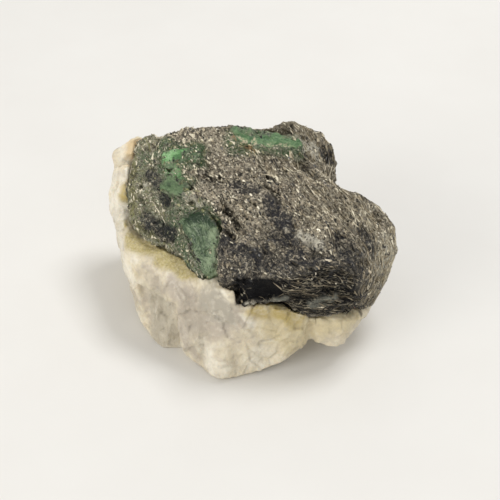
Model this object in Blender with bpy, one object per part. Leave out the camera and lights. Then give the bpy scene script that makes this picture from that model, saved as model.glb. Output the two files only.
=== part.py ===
"""Emerald in matrix, a hand specimen of rock.

A dark slab of mica schist lies on a base of milky quartz, and cloudy emerald
crystals are set in the schist. Each lump of rock is the convex hull of its own
corners. The lumps of one rock are fused into one body, worn, broken by relief
and thinned to few faces. Then the crystals' pockets are cut out of the rock,
and the bed that the schist lies in is cut out of the quartz.

Corners are in millimetres, +X to the right of the broad front, +Y to the back
and +Z up, with the ground at zero.
"""

import math

import bmesh
import bpy
from mathutils import Matrix, Vector, noise

MM = 0.001

# Driving dimensions, in millimetres.
GAP = 0.35                 # between pieces that touch
FUSE_CELL = 0.55           # cell that fuses overlapping lumps into one skin
WEAR_PASSES = 3            # smoothing passes that wear the edges
GROUND_CUT = 1.2           # how far the lumps reach below the flat sole
SOLE_TOLERANCE = 0.02      # points this near the ground are counted as on it
SMALLEST_EDGE = 0.04       # shorter edges, left by a cut, are collapsed
SCHIST_FACES = 4200        # triangles, before the pockets are cut
QUARTZ_FACES = 3600        # triangles, before the bed and the pockets are cut
BED_FACES = 1200           # triangles of the cutter that makes the schist's bed

# The bed that the schist lies on dips to the right and to the front: its height
# at the middle, and its rise per millimetre to the left and to the back.
BED_HEIGHT = 18.4
BED_RISE_LEFT = 0.25
BED_RISE_BACK = 0.08


def bed(x, y, lift=0.0):
    """A corner at x, y on the bed plane, raised by lift."""
    return (x, y, BED_HEIGHT - BED_RISE_LEFT * x + BED_RISE_BACK * y + lift)


def sole(x, y):
    """A corner at x, y just below the ground, to be cut off flat."""
    return (x, y, -GROUND_CUT)


# Mica schist: a thick slab whose top slopes to the front, with a lower left end,
# a knob at the back and a shoulder that falls away to the right.
SCHIST_LUMPS = {
    "slab_back": [
        (-20.4, 18.3, 35.1), (-19.4, 12.3, 35.2), (-15.2, 1.2, 32.7), (-11.4, -2.6, 31.7), (-7.3, -5.8, 31.4),
        (-16, 18.2, 35.8), (-11.4, 17.4, 38.2), (-3.5, 16.8, 38.4), (2.4, 17, 37.4), (7.5, 16.6, 37),
        (6, 11, 36.4), (10.2, 8.8, 35.1), (14.5, 4.3, 33), (18.3, 1.9, 31), (20.6, -3, 29.2),
        (0, -8, 30.8), (17, -8, 28.6),
        bed(-17, 17), bed(0, 19), bed(18, 12), bed(21, -4), bed(-13, 0), bed(-7, -5),
    ],
    "slab_front": [
        (-7.3, -5.8, 31.4), (0, -8, 30.8), (17, -8, 28.6), (20.6, -3, 29.2), (23.7, -8.3, 26.6),
        (-7, -19.6, 25.7), (1, -20.4, 25.9), (9.6, -19.8, 25.7), (14, -18.4, 25.3), (19.6, -17.6, 23.9),
        (22.6, -17.6, 21), (-7.4, -15, 23.4), (-6.6, -19, 23.2),
        bed(-3, -16), bed(9, -17.5), bed(20, -16), bed(24, -6), bed(0, 0),
    ],
    "left_end": [
        (-26, 19.6, 32.6), (-24.2, 19.3, 34.5), (-19.7, 18.3, 35.2), (-26.2, 15.8, 30.5),
        (-27.2, 13.2, 28.5), (-28.2, 9.5, 27.2), (-27.8, 5.6, 26.2), (-27.1, 0.4, 24.2),
        (-26.3, -1, 23.6), (-24.4, -3, 22.3), (-18, -4.8, 22.3), (-12.5, -9.8, 21.5),
        (-19.6, 11, 34.3), (-15.4, 0, 31.2), (-11, -4, 29), (-24, 16, 24), (-25, 2, 22.5),
        bed(-18, -2), bed(-9, -10), bed(-8, 10),
    ],
    "skirt": [
        (-18, -4.8, 22.3), (-14.9, -6.5, 21.9), (-12.5, -10, 21.3), (-11, -13.6, 21), (-10.4, -16, 22),
        (-16.5, -4, 28.3), (-14.9, -7.6, 26.5), (-13.4, -11.2, 25.2), (-11.7, -14.4, 23.8),
        (-10, -8, 19.5), (-12, -2, 22), (-9, -14, 21),
    ],
    "shoulder": [
        (14.5, 4.3, 33), (18.6, 4.6, 30.8), (20.6, -3, 29.2), (23.7, -8.3, 26.6), (22.6, -17.4, 21),
        (22.9, 4.4, 29), (26.8, 2.8, 27), (30.1, -1.6, 24.4), (31.4, -5.5, 21.2),
        (29.2, -7.9, 16), (25.7, -11.6, 10.3), (22.8, -15, 12),
        (29, 4, 18), (25, 10, 17), (17, 13, 18), bed(12, 0), bed(27, 2),
    ],
    "knob": [
        (2.3, 19.6, 35.8), (4.6, 21, 36.3), (9, 21.2, 36.8), (13.1, 21.4, 34.4), (17.4, 21.4, 30.3),
        (18.8, 20.7, 26.3), (19, 18.6, 21), (9, 14, 34.4), (15.6, 11.6, 28.4), (4, 23.6, 31), (9, 24.8, 28),
        (14, 23.6, 26), (15, 21.6, 17), (9, 22.6, 17), (2, 20, 18), (4, 12, 20), (16, 12, 18),
    ],
    "back": [
        (-20, 18, 34), (-12, 18.6, 37), (-3, 18.4, 38.2), (3.4, 18.8, 37.3), (8, 19.4, 36.4),
        (3, 22, 27), (-6, 22.4, 28), (-15, 21, 29),
        bed(-18, 18), bed(-8, 20.4), bed(3, 20.6), (-10, 10, 26),
    ],
    "front_lens": [
        (6.8, -20.6, 19.2), (13.5, -21.6, 18.6), (21, -18.8, 17.2), (8.2, -20.8, 16.6), (11, -20.6, 15.2),
        (14.5, -20.2, 14.6), (18, -19.2, 15), (20.6, -18.2, 16), (9, -12, 18), (20, -12, 17), (12, -12, 15),
    ],
    "front_block": [
        (-3.6, -20.4, 25.4), (6.5, -20.8, 25.4), (-3.4, -20.7, 18.7), (6, -20.9, 19.6),
        (-3, -12, 24), (6, -12, 24), (-3, -12, 18), (6, -12, 18),
    ],
}

# Beds that stand out of the schist's front like the leaves of a book: the left
# and right end of each one's front edge, and its thickness.
FRONT_BEDS = [
    ((4.0, -21.4, 25.2), (20.2, -19.0, 23.2), 1.6),
    ((6.0, -20.0, 23.6), (22.0, -17.8, 21.6), 1.2),
    ((6.6, -21.3, 22.0), (22.4, -18.6, 19.8), 1.7),
    ((7.0, -19.8, 20.4), (21.6, -17.8, 18.2), 1.4),
]
FRONT_BED_DEPTH = 9.0

# Milky quartz: the base, with a ledge to the left, two feet at the front, a lobe
# that overhangs at the right and a nub of lumps that wraps the schist's left end.
QUARTZ_LUMPS = {
    "core": [
        sole(-14, -14), sole(-7, -19), sole(4, -15), sole(12, -7), sole(16, 4), sole(11, 15),
        sole(-1, 18), sole(-15, 16), sole(-21, 7), sole(-21, -6),
        bed(-9, -18, 2), bed(10, -17, 2), bed(22, -10, 2), bed(25, 2, 2), bed(16, 15, 2),
        bed(0, 20, 2), bed(-16, 19, 1), (-26, 12, 23), (-24, -2, 19.5),
    ],
    "front_face": [
        sole(-7.5, -22.6), (-1, -22.8, 0.6), (6, -21.4, 2.8), (10.8, -18.2, 5.2),
        (-3.7, -20.7, 18.5), (3, -20.7, 18), (7.6, -19.9, 15.7), (11.4, -19.0, 14.8),
        (-4.6, -20.4, 23), (-8.6, -19, 22.9), (-12, -17.4, 18), (-11, -12, 0), (10, -10, 2),
        (11, -10, 14), (-8, -10, 19),
    ],
    "foot": [
        sole(-11, -20.4), sole(-7.2, -23.6), (-10, -22.6, 4), (-7, -24.8, 3.5), (-4, -23.4, 1),
        (-9, -22.4, 8), (-5, -22.9, 8), sole(-12, -16), sole(-4, -16), (-8, -16, 9),
    ],
    "foot_column": [
        sole(-15.3, -15.6), sole(-11, -20), (-15.8, -16.9, 6), (-12, -20.4, 6), (-17.2, -15.2, 14),
        (-12, -18.4, 16), (-8, -19, 18), (-14, -13, 20), sole(-8, -12), (-8, -12, 18),
    ],
    "recess_wall": [
        sole(-15, -14), sole(-20.6, -14.2), sole(-23.1, -9.2), (-16, -12.6, 14), (-23.5, -7, 15),
        (-25, -4, 6), sole(-12, -10), (-12, -10, 14), sole(-20, 0), (-20, 0, 16),
    ],
    "ledge": [
        (-24.4, -2.8, 21.4), (-18.1, -4, 21.1), (-12, -10, 20.4), (-25.9, -7.7, 19.3),
        (-20.1, -9.6, 18.8), (-11.3, -14.6, 20), (-27.5, -3, 20.5), (-25.5, -8.8, 15),
        (-19, -13.4, 14), (-12, -17.4, 17), (-24, -2, 12), (-12, -10, 12), (-8, -18, 19),
        (-27.5, 2, 21),
    ],
    "left_wall": [
        sole(-25, -3.6), (-26.6, -3, 4.3), (-28.2, -1, 10), (-30, 4, 17.4), (-31.5, 8, 20),
        (-33.1, 14, 20), (-32.8, 16, 23), (-27.6, 0, 22), (-27, -6, 19), (-25, -8, 10),
        sole(-23.5, -8.5), sole(-20, 10), (-27, 19, 8), (-29, 21, 16), (-24, 14, 2), (-20, 16, 20),
        (-24, 0, 20), (-30.5, 18, 23),
    ],
    "left_back": [
        (-32.6, 14, 21), (-31.6, 18.4, 28), (-29, 21, 27), (-23, 22.6, 24), (-20, 21, 20), (-27, 12, 25),
        (-24, 18.6, 3), (-28, 20, 10), (-31, 16, 15), (-11, 18.6, 2), (-20, 12, 2), (-20, 10, 22),
        (-8, 20.4, 12), bed(-10, 20.6), (-17, 20.4, 4),
    ],
    "nub_top": [
        (-32, 18.2, 28.9), (-31, 19.2, 30.6), (-29, 19.4, 31.9), (-26.4, 20, 33), (-24.6, 20.4, 32.4),
        (-25.6, 16.6, 30.9), (-29.5, 16.4, 29.6), (-25, 23.4, 27), (-30, 22, 26), (-24, 18, 24),
        (-31.8, 17.5, 26),
    ],
    "nub_middle": [
        (-30.8, 14.8, 28), (-28.6, 15.2, 30), (-26.4, 14, 28.8), (-26.8, 12, 27), (-29.8, 12.4, 26.7),
        (-31.8, 15, 24.5), (-26, 16, 23), (-27, 11, 23),
    ],
    "nub_low": [
        (-30.8, 10.4, 26), (-29, 11.2, 27.7), (-27.6, 9.6, 26.8), (-27.8, 7.2, 25.3), (-30, 7.6, 24.4),
        (-31.6, 10, 22.5), (-27, 8, 21), (-27, 12, 22),
    ],
    "right_lobe": [
        (12.6, -18.6, 13.4), (20, -17.6, 11.5), (24.2, -12.6, 9.6), (18, -18.8, 4.8), (13.3, -17.6, 5.4),
        (22.3, -14, 5.8), (26.3, -9.4, 9), (13, -8, 2), (20, -4, 4), (26, -2, 10), (12, -8, 12),
    ],
}

# Emerald crystals: the middles of the two ends, the width across the flats, and
# the way that the broadest side faces.
EMERALDS = {
    "emerald_front": ((-12.4, -0.8, 26.2), (-6.6, -12.6, 19.8), 9.2, (-0.2, -0.45, 0.87)),
    "emerald_left": ((-19.6, 10.8, 32.2), (-11.4, 9.6, 34.2), 4.6, (-0.35, -0.4, 0.85)),
    "emerald_left_low": ((-19.0, 5.4, 30.5), (-14.2, 1.8, 30.5), 4.2, (-0.35, -0.4, 0.85)),
    "emerald_top": ((-5.0, 13.8, 35.2), (9.8, 13.0, 33.4), 5.4, (0.0, -0.32, 0.95)),
}
CRYSTAL_SIDES = 6
CRYSTAL_CHAMFER = 0.12     # of the width, at each end


# Relief, in millimetres: how deep each kind of unevenness is carved.
HOLLOW_DEPTH = 1.1
BROKEN_DEPTH = 1.1
DENT_DEPTH = 1.0
RIB_DEPTH = 0.8
HOLLOW_SIZE = 8.0          # how broad each kind is
BROKEN_SIZE = 3.4
DENT_SIZE = 8.5
RIB_SIZE = 3.2
RIB_STRETCH = 0.3          # ribs run up and down, so their noise is stretched in height
NOISE_REACH = 0.62         # spreads the noise over 0 to 1
SOLE_MARGIN = 3.0          # relief fades out this close to the ground
OVERHANG_FADE = 0.7        # and on faces that look down as steeply as this
RELIEF_ALLOWANCE = 0.45    # what the lumps are grown by, to make up for the carving

# Open gashes in the schist's top: two ends, radius and depth.
GASHES = [
    ((10.6, 7.4, 34.6), (12.6, 5.8, 33.6), 1.9, 2.0),
    ((2.2, 7.8, 36.0), (3.4, 5.2, 35.4), 1.7, 1.5),
    ((-10.6, 6.8, 34.4), (-7.6, 6.0, 34.6), 1.8, 1.4),
    ((9.6, -5.0, 30.4), (10.8, -6.2, 30.0), 1.9, 1.6),
    ((-5.6, -3.0, 32.0), (-4.2, -8.4, 30.6), 2.4, 1.5),
    ((2.6, -9.8, 29.8), (7.8, -11.8, 28.8), 2.3, 1.2),
    ((18.0, -11.0, 26.8), (20.4, -12.6, 25.0), 2.4, 1.3),
    ((-21.4, 1.0, 28.0), (-19.6, -1.4, 26.0), 2.2, 1.2),
]


def clear_scene():
    """Start from an empty scene."""
    for item in list(bpy.data.objects):
        bpy.data.objects.remove(item, do_unlink=True)


def plain_material(name, colour, roughness):
    """A material with one Principled shader."""
    material = bpy.data.materials.new(name)
    material.use_nodes = True
    shader = material.node_tree.nodes["Principled BSDF"]
    shader.inputs["Base Color"].default_value = (*colour, 1.0)
    shader.inputs["Roughness"].default_value = roughness
    return material


def new_object(name, mesh):
    """Put a mesh in the scene under a name."""
    item = bpy.data.objects.new(name, mesh)
    bpy.context.scene.collection.objects.link(item)
    return item


def hull_mesh(name, corner_lists):
    """One mesh that holds the convex hull of each list of corners."""
    shape = bmesh.new()
    for corners in corner_lists:
        verts = [shape.verts.new(Vector(corner) * MM) for corner in corners]
        hull = bmesh.ops.convex_hull(shape, input=verts)
        inner = [part for part in hull["geom_interior"] if isinstance(part, bmesh.types.BMVert)]
        bmesh.ops.delete(shape, geom=inner, context="VERTS")
    mesh = bpy.data.meshes.new(name)
    shape.to_mesh(mesh)
    shape.free()
    return mesh


def settle(item):
    """Apply an object's modifiers, and keep the result as its mesh."""
    graph = bpy.context.evaluated_depsgraph_get()
    settled = bpy.data.meshes.new_from_object(item.evaluated_get(graph))
    item.modifiers.clear()
    item.data = settled


def fuse(item, wear_passes):
    """Fuse what overlaps into one closed skin, and wear its edges."""
    remesh = item.modifiers.new("fuse", "REMESH")
    remesh.mode = "VOXEL"
    remesh.voxel_size = FUSE_CELL * MM
    smooth = item.modifiers.new("wear", "SMOOTH")
    smooth.factor = 0.5
    smooth.iterations = wear_passes
    settle(item)


def clean_up(item):
    """Drop the crumbs that a cut leaves beside the body, and its needle-thin faces."""
    shape = bmesh.new()
    shape.from_mesh(item.data)
    waiting = set(shape.faces)
    islands = []
    while waiting:
        island = [waiting.pop()]
        for face in island:
            for neighbour in [other for edge in face.edges for other in edge.link_faces]:
                if neighbour in waiting:
                    waiting.remove(neighbour)
                    island.append(neighbour)
        islands.append(island)
    body = max(islands, key=len)
    crumbs = [face for island in islands if island is not body for face in island]
    bmesh.ops.delete(shape, geom=crumbs, context="FACES")
    bmesh.ops.triangulate(shape, faces=shape.faces[:])
    bmesh.ops.dissolve_degenerate(shape, dist=SMALLEST_EDGE * MM, edges=shape.edges[:])
    shape.to_mesh(item.data)
    shape.free()


def thin_out(item, faces):
    """Bring the skin down to about so many triangles."""
    count = sum(len(polygon.vertices) - 2 for polygon in item.data.polygons)
    decimate = item.modifiers.new("thin_out", "DECIMATE")
    decimate.ratio = min(1.0, faces / count)
    decimate.use_collapse_triangulate = True
    settle(item)


def grow(item, distance):
    """Push the whole skin outwards by a distance in millimetres."""
    outset = item.modifiers.new("grow", "DISPLACE")
    outset.strength = distance * MM
    outset.mid_level = 0.0
    settle(item)


def carve(item, depth_at):
    """Push each point of the skin inwards by depth_at(point), in millimetres.

    What faces down lies on something, and is left as it is.
    """
    mesh = item.data
    places = []
    for vertex in mesh.vertices:
        open_share = min(1.0, max(0.0, 1.0 + vertex.normal.z / OVERHANG_FADE))
        depth = open_share * depth_at(vertex.co / MM)
        places.append(vertex.co - vertex.normal * depth * MM)
    for vertex, place in zip(mesh.vertices, places):
        vertex.co = place


def cut_out(item, cutter):
    """Take a cutter's shape out of a body."""
    cutter.hide_render = True
    cutter.display_type = "WIRE"
    boolean = item.modifiers.new("cut_out", "BOOLEAN")
    boolean.operation = "DIFFERENCE"
    boolean.solver = "EXACT"
    boolean.use_self = True
    boolean.object = cutter
    settle(item)
    clean_up(item)


def cut_sole(item):
    """Cut the body off flat at the ground."""
    shape = bmesh.new()
    shape.from_mesh(item.data)
    everything = shape.verts[:] + shape.edges[:] + shape.faces[:]
    cut = bmesh.ops.bisect_plane(
        shape, geom=everything, dist=SOLE_TOLERANCE * MM,
        plane_co=(0, 0, 0), plane_no=(0, 0, 1), clear_inner=True,
    )
    rim = [part for part in cut["geom_cut"] if isinstance(part, bmesh.types.BMEdge)]
    bmesh.ops.contextual_create(shape, geom=rim)
    shape.to_mesh(item.data)
    shape.free()


def front_bed_corners(left, right, thickness):
    """The eight corners of one thin bed."""
    corners = []
    for x, y, z in (left, right):
        for back in (0.0, FRONT_BED_DEPTH):
            for down in (0.0, thickness):
                corners.append((x, y + back, z - down))
    return corners


def crystal_mesh(name, start, end, width, facing, grow=0.0):
    """A six-sided crystal with chamfered ends, grown by a clearance all round."""
    start, end, facing = Vector(start), Vector(end), Vector(facing)
    axis = (end - start).normalized()
    outward = (facing - axis * facing.dot(axis)).normalized()
    sideways = axis.cross(outward)
    apothem = width / 2 + grow
    radius = apothem / math.cos(math.pi / CRYSTAL_SIDES)
    chamfer = width * CRYSTAL_CHAMFER
    length = (end - start).length
    rings = [
        (-grow, radius - chamfer),
        (chamfer - grow, radius),
        (length - chamfer + grow, radius),
        (length + grow, radius - chamfer),
    ]
    shape = bmesh.new()
    for along, reach in rings:
        for side in range(CRYSTAL_SIDES):
            turn = math.tau * (side + 0.5) / CRYSTAL_SIDES
            spoke = outward * math.cos(turn) + sideways * math.sin(turn)
            shape.verts.new((start + axis * along + spoke * reach) * MM)
    bmesh.ops.convex_hull(shape, input=shape.verts[:])
    bmesh.ops.dissolve_limit(
        shape, angle_limit=math.radians(1), use_dissolve_boundaries=False,
        verts=shape.verts[:], edges=shape.edges[:],
    )
    mesh = bpy.data.meshes.new(name)
    shape.to_mesh(mesh)
    shape.free()
    return mesh


def bumps(point, size, seed):
    """Smooth noise from 0 to 1, with lumps of about the given size."""
    shift = Vector((seed * 17.0, seed * -9.0, seed * 5.0))
    return min(1.0, max(0.0, 0.5 + NOISE_REACH * noise.noise(point / size + shift)))


def distance_to_line(point, start, end):
    """The distance from a point to the straight line between two ends."""
    along = (point - start).dot(end - start) / (end - start).length_squared
    return (point - start.lerp(end, min(1.0, max(0.0, along)))).length


def schist_relief(point):
    """How deep the schist is carved at a point: hollows, broken ground and gashes."""
    hollow = bumps(point, HOLLOW_SIZE, 1.0) ** 2
    broken = bumps(point, BROKEN_SIZE, 2.0) ** 2
    depth = HOLLOW_DEPTH * hollow + BROKEN_DEPTH * broken
    for start, end, radius, gash_depth in GASHES:
        nearness = 1.0 - distance_to_line(point, Vector(start), Vector(end)) / radius
        depth += gash_depth * max(0.0, nearness)
    return depth


def quartz_relief(point):
    """How deep the quartz is carved at a point: broad dents and upright ribs."""
    dent = bumps(point, DENT_SIZE, 3.0) ** 2
    rib = bumps(Vector((point.x, point.y, point.z * RIB_STRETCH)), RIB_SIZE, 4.0) ** 2
    above_sole = min(1.0, max(0.0, point.z / SOLE_MARGIN))
    return above_sole * (DENT_DEPTH * dent + RIB_DEPTH * rib)


def build_schist():
    """The schist's body, before its pockets are cut."""
    beds = [front_bed_corners(*front_bed) for front_bed in FRONT_BEDS]
    item = new_object("mica_schist", hull_mesh("mica_schist", list(SCHIST_LUMPS.values()) + beds))
    fuse(item, WEAR_PASSES)
    grow(item, RELIEF_ALLOWANCE)
    return item


def bed_cutter(schist):
    """The schist's worn body, grown by the gap, to cut its bed out of the quartz."""
    cutter = new_object("bed_cutter", schist.data.copy())
    grow(cutter, GAP)
    fuse(cutter, 0)
    thin_out(cutter, BED_FACES)
    return cutter


def build_quartz():
    """The quartz base, before the bed and the pockets are cut."""
    item = new_object("quartz_base", hull_mesh("quartz_base", QUARTZ_LUMPS.values()))
    fuse(item, WEAR_PASSES)
    grow(item, RELIEF_ALLOWANCE)
    carve(item, quartz_relief)
    fuse(item, 1)
    thin_out(item, QUARTZ_FACES)
    cut_sole(item)
    return item


def dress(item, colour, roughness):
    """Give a piece its material and flat facets."""
    item.data.materials.clear()
    item.data.materials.append(plain_material(item.name, colour, roughness))
    item.data.shade_flat()


def centre(items):
    """Move the pieces together, so that the specimen's middle stands over the origin."""
    places = [vertex.co for item in items for vertex in item.data.vertices]
    middle_x = (min(p.x for p in places) + max(p.x for p in places)) / 2
    middle_y = (min(p.y for p in places) + max(p.y for p in places)) / 2
    for item in items:
        item.data.transform(Matrix.Translation((-middle_x, -middle_y, 0.0)))


def main():
    clear_scene()
    schist = build_schist()
    bed_shape = bed_cutter(schist)
    carve(schist, schist_relief)
    fuse(schist, 1)
    thin_out(schist, SCHIST_FACES)
    quartz = build_quartz()
    cut_out(quartz, bed_shape)
    crystals = []
    for name, (start, end, width, facing) in EMERALDS.items():
        pocket = new_object(name + "_pocket", crystal_mesh(name + "_pocket", start, end, width, facing, GAP))
        cut_out(schist, pocket)
        cut_out(quartz, pocket)
        bpy.data.objects.remove(pocket, do_unlink=True)
        crystals.append(new_object(name, crystal_mesh(name, start, end, width, facing)))
    bpy.data.objects.remove(bed_shape, do_unlink=True)
    dress(schist, (0.13, 0.115, 0.10), 0.45)
    dress(quartz, (0.74, 0.68, 0.57), 0.4)
    for crystal in crystals:
        dress(crystal, (0.07, 0.25, 0.11), 0.3)
    centre([schist, quartz] + crystals)


main()
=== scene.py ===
"""The looks of an emerald specimen in its matrix.

A slab of dark mica schist, set with cloudy emeralds, lies on a base of milky quartz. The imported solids
give every size and place. Each rock is a finer skin drawn over its solid, with the ledges, grooves, pits and
facets that the solid is too coarse for. Flakes, fibres and grains are joined meshes set into that skin.

Places and lengths are in millimetres until a mesh is made, because Blender works in metres.
"""

import logging
import math
from collections.abc import Callable, Iterable
from dataclasses import dataclass
from enum import Enum, IntEnum
from functools import reduce
from itertools import product

import bmesh
import bpy
import numpy as np
from mathutils import Euler, Matrix, Vector
from mathutils.bvhtree import BVHTree


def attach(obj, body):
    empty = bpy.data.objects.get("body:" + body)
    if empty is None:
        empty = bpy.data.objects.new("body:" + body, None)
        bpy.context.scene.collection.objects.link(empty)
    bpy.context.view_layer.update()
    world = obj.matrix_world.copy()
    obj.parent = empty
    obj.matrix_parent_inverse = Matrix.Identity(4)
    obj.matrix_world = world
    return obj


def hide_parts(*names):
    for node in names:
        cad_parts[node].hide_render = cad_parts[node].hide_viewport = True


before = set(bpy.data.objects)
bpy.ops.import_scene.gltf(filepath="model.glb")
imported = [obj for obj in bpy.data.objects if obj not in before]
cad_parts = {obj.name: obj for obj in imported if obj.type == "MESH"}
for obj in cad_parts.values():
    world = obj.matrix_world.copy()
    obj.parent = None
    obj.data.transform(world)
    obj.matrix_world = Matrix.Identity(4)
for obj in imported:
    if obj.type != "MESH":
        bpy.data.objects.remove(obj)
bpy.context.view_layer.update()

MM = 0.001
Numbers = np.ndarray
Colour = tuple[float, float, float]
Place = tuple[float, float, float]
Span = tuple[float, float]

PRIMES = (73856093, 19349663, 83492791, 2654435761)
LARGEST = 0x7FFFFFFF

logging.basicConfig(level=logging.INFO, format="%(name)s: %(message)s")
log = logging.getLogger("emerald_specimen")


# -------------------- Noise, worked out for many points at once --------------------


class Pattern(IntEnum):
    """The number that picks each noise, so that no two effects share one."""

    PATCH_EDGES = 3
    SIDE_EDGES = 11
    SLAB_LUMPS = 21
    SLAB_BREAKS = 22
    LEDGE_WAVES = 23
    LEDGE_ENDS = 24
    LEDGE_DEPTHS = 25
    LIP_EDGE = 26
    SLAB_GRAIN = 31
    SLAB_COBBLES = 32
    SLAB_CHIPS = 33
    SLAB_STREAKS = 34
    SLAB_HOLES = 35
    BED_EDGE = 41
    SEAM_EDGE = 42
    QUARTZ_FACETS = 51
    QUARTZ_CHIPS = 52
    QUARTZ_FIBRES = 53
    QUARTZ_GRAIN = 54
    QUARTZ_ROUGHNESS = 55
    CRYSTAL_BITE = 61
    CRYSTAL_GROOVES = 62
    CRYSTAL_CHIPS = 63
    CRYSTAL_FROSTING = 64
    CRYSTAL_EDGE = 65
    FLAKES = 71
    GRAINS = 72
    FLAKE_TONES = 73
    FIBRES = 74


def ramp(values: Numbers, low: float, high: float) -> Numbers:
    """Blend smoothly from 0 at low to 1 at high.

    Args:
        values: Any numbers.
        low: Where the blend leaves 0. It may lie above high, for a falling blend.
        high: Where it reaches 1.

    Returns:
        The blend, from 0 to 1.
    """
    share = np.clip((values - low) / (high - low), 0.0, 1.0)
    return share * share * (3.0 - 2.0 * share)


def cell_numbers(cells: Numbers, seed: int) -> Numbers:
    """Give each whole-number cell its own repeatable number.

    Args:
        cells: Rows of three whole numbers.
        seed: Picks one of many sets of numbers.

    Returns:
        One number from 0 to 1 for each row.
    """
    x, y, z = (cells[:, axis].astype(np.int64) for axis in range(3))
    mixed = (x * PRIMES[0]) ^ (y * PRIMES[1]) ^ (z * PRIMES[2]) ^ (seed * PRIMES[3])
    mixed = ((mixed ^ (mixed >> 13)) * 1274126177) & LARGEST
    mixed = ((mixed ^ (mixed >> 11)) * 2246822519) & LARGEST
    return (mixed ^ (mixed >> 15)) / LARGEST


def smooth_noise(points: Numbers, size: float, seed: int) -> Numbers:
    """Noise whose lumps are about one size.

    Args:
        points: Rows of three coordinates.
        size: The lumps' size, in the points' unit.
        seed: Picks one of many noises.

    Returns:
        One number from -1 to 1 for each point.
    """
    tilt = np.array(Euler((0.9 * seed, 0.5 * seed + 0.4, 1.3 * seed)).to_matrix())
    scaled = points @ tilt / size
    base = np.floor(scaled)
    inner = scaled - base
    blend = inner * inner * (3.0 - 2.0 * inner)
    total = np.zeros(len(points))
    for corner in product((0, 1), repeat=3):
        weight = np.prod(np.where(corner, blend, 1.0 - blend), axis=1)
        total += weight * cell_numbers(base + corner, seed)
    return 2.0 * total - 1.0


def rough_noise(points: Numbers, size: float, seed: int, octaves: int = 3) -> Numbers:
    """Noise with finer and weaker lumps on top of its largest ones.

    Args:
        points: Rows of three coordinates.
        size: The largest lumps' size.
        seed: Picks one of many noises.
        octaves: How many noises are added, each half the size of the last.

    Returns:
        One number from about -1 to 1 for each point.
    """
    shares = [0.5**octave for octave in range(octaves)]
    layers = [
        share * smooth_noise(points, size * share, seed + 7 * octave)
        for octave, share in enumerate(shares)
    ]
    return sum(layers) / sum(shares) * 1.3


def cobbles(points: Numbers, size: float, seed: int) -> tuple[Numbers, Numbers, Numbers]:
    """Sort points into cells, each cell round a scattered centre.

    Args:
        points: Rows of three coordinates.
        size: The cells' size.
        seed: Picks one of many scatters.

    Returns:
        For each point, the distance to its cell's centre, in cell sizes; the cell's own number from 0 to 1;
        and the way from the centre to the point.
    """
    scaled = points / size
    base = np.floor(scaled)
    nearest = np.full(len(points), np.inf)
    number = np.zeros(len(points))
    offset = np.zeros_like(points)
    for step in product((-1, 0, 1), repeat=3):
        cells = base + step
        jitter = np.stack([cell_numbers(cells, seed + 31 * axis) for axis in range(3)], axis=1)
        away = scaled - cells - jitter
        distance = np.linalg.norm(away, axis=1)
        closer = distance < nearest
        nearest = np.where(closer, distance, nearest)
        number = np.where(closer, cell_numbers(cells, seed + 5), number)
        offset[closer] = away[closer] * size
    return nearest, number, offset


def broken_facets(points: Numbers, size: float, seed: int) -> Numbers:
    """Heights of flat facets that each tilt their own way and meet in small steps.

    Args:
        points: Rows of three coordinates.
        size: The facets' size.
        seed: Picks one of many patterns.

    Returns:
        One height from about -1 to 1 for each point.
    """
    _, number, offset = cobbles(points, size, seed)
    turn = number * math.tau * 7.0
    lean = number * math.tau * 3.0
    tilt = np.stack([np.cos(turn) * np.cos(lean), np.sin(turn) * np.cos(lean), np.sin(lean)], axis=1)
    return np.sum(offset * tilt, axis=1) / size + 0.6 * (number - 0.5)


def stretched(points: Numbers, direction: Place, spacing: float, length: float) -> Numbers:
    """Squeeze space so that noise in it becomes long streaks.

    Args:
        points: Rows of three coordinates.
        direction: The way that the streaks run.
        spacing: How far apart the streaks are.
        length: How long they are.

    Returns:
        The points, with a streak's length and spacing both brought to 1.
    """
    along = Vector(direction).normalized()
    across = along.orthogonal().normalized()
    ways = ((along, length), (across, spacing), (along.cross(across), spacing))
    return np.stack([points @ np.array(way) / size for way, size in ways], axis=1)


# -------------------- Places on the rock --------------------


@dataclass(frozen=True)
class Patch:
    """A soft-edged place: everything within a radius of the line between two ends."""

    start: Place
    end: Place
    radius: float

    def share(self, points: Numbers) -> Numbers:
        """Work out how far points are inside.

        Args:
            points: Rows of three coordinates.

        Returns:
            A share for each point, from 0 outside to 1 well inside.
        """
        start = np.array(self.start)
        run = np.array(self.end) - start
        along = np.clip((points - start) @ run / max(1e-9, run @ run), 0.0, 1.0)
        distance = np.linalg.norm(points - start - along[:, None] * run, axis=1)
        return ramp(distance / self.radius, 1.25, 0.45)


def spot(place: Place, radius: float) -> Patch:
    """A round patch."""
    return Patch(place, place, radius)


def covered(points: Numbers, patches: Iterable[Patch], ragged: float = 0.8) -> Numbers:
    """How far each point is inside the nearest of several patches with ragged edges.

    Args:
        points: Rows of three coordinates.
        patches: The patches.
        ragged: How far their edges wander.

    Returns:
        A share from 0 to 1 for each point.
    """
    edges = [rough_noise(points, 2.6, Pattern.PATCH_EDGES + axis, 4) for axis in range(3)]
    wander = np.stack(edges, axis=1)
    moved = points + ragged * wander
    shares = [patch.share(moved) for patch in patches]
    return np.max(shares, axis=0) if shares else np.zeros(len(points))


# -------------------- Skins --------------------


def settle(item: bpy.types.Object) -> bpy.types.Mesh:
    """Give an object's mesh as its modifiers leave it."""
    graph = bpy.context.evaluated_depsgraph_get()
    return bpy.data.meshes.new_from_object(item.evaluated_get(graph))


def new_object(name: str, mesh: bpy.types.Mesh) -> bpy.types.Object:
    """Put a mesh in the scene.

    Args:
        name: The object's name.
        mesh: Its mesh.

    Returns:
        The object.
    """
    item = bpy.data.objects.new(name, mesh)
    bpy.context.scene.collection.objects.link(item)
    return item


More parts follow.
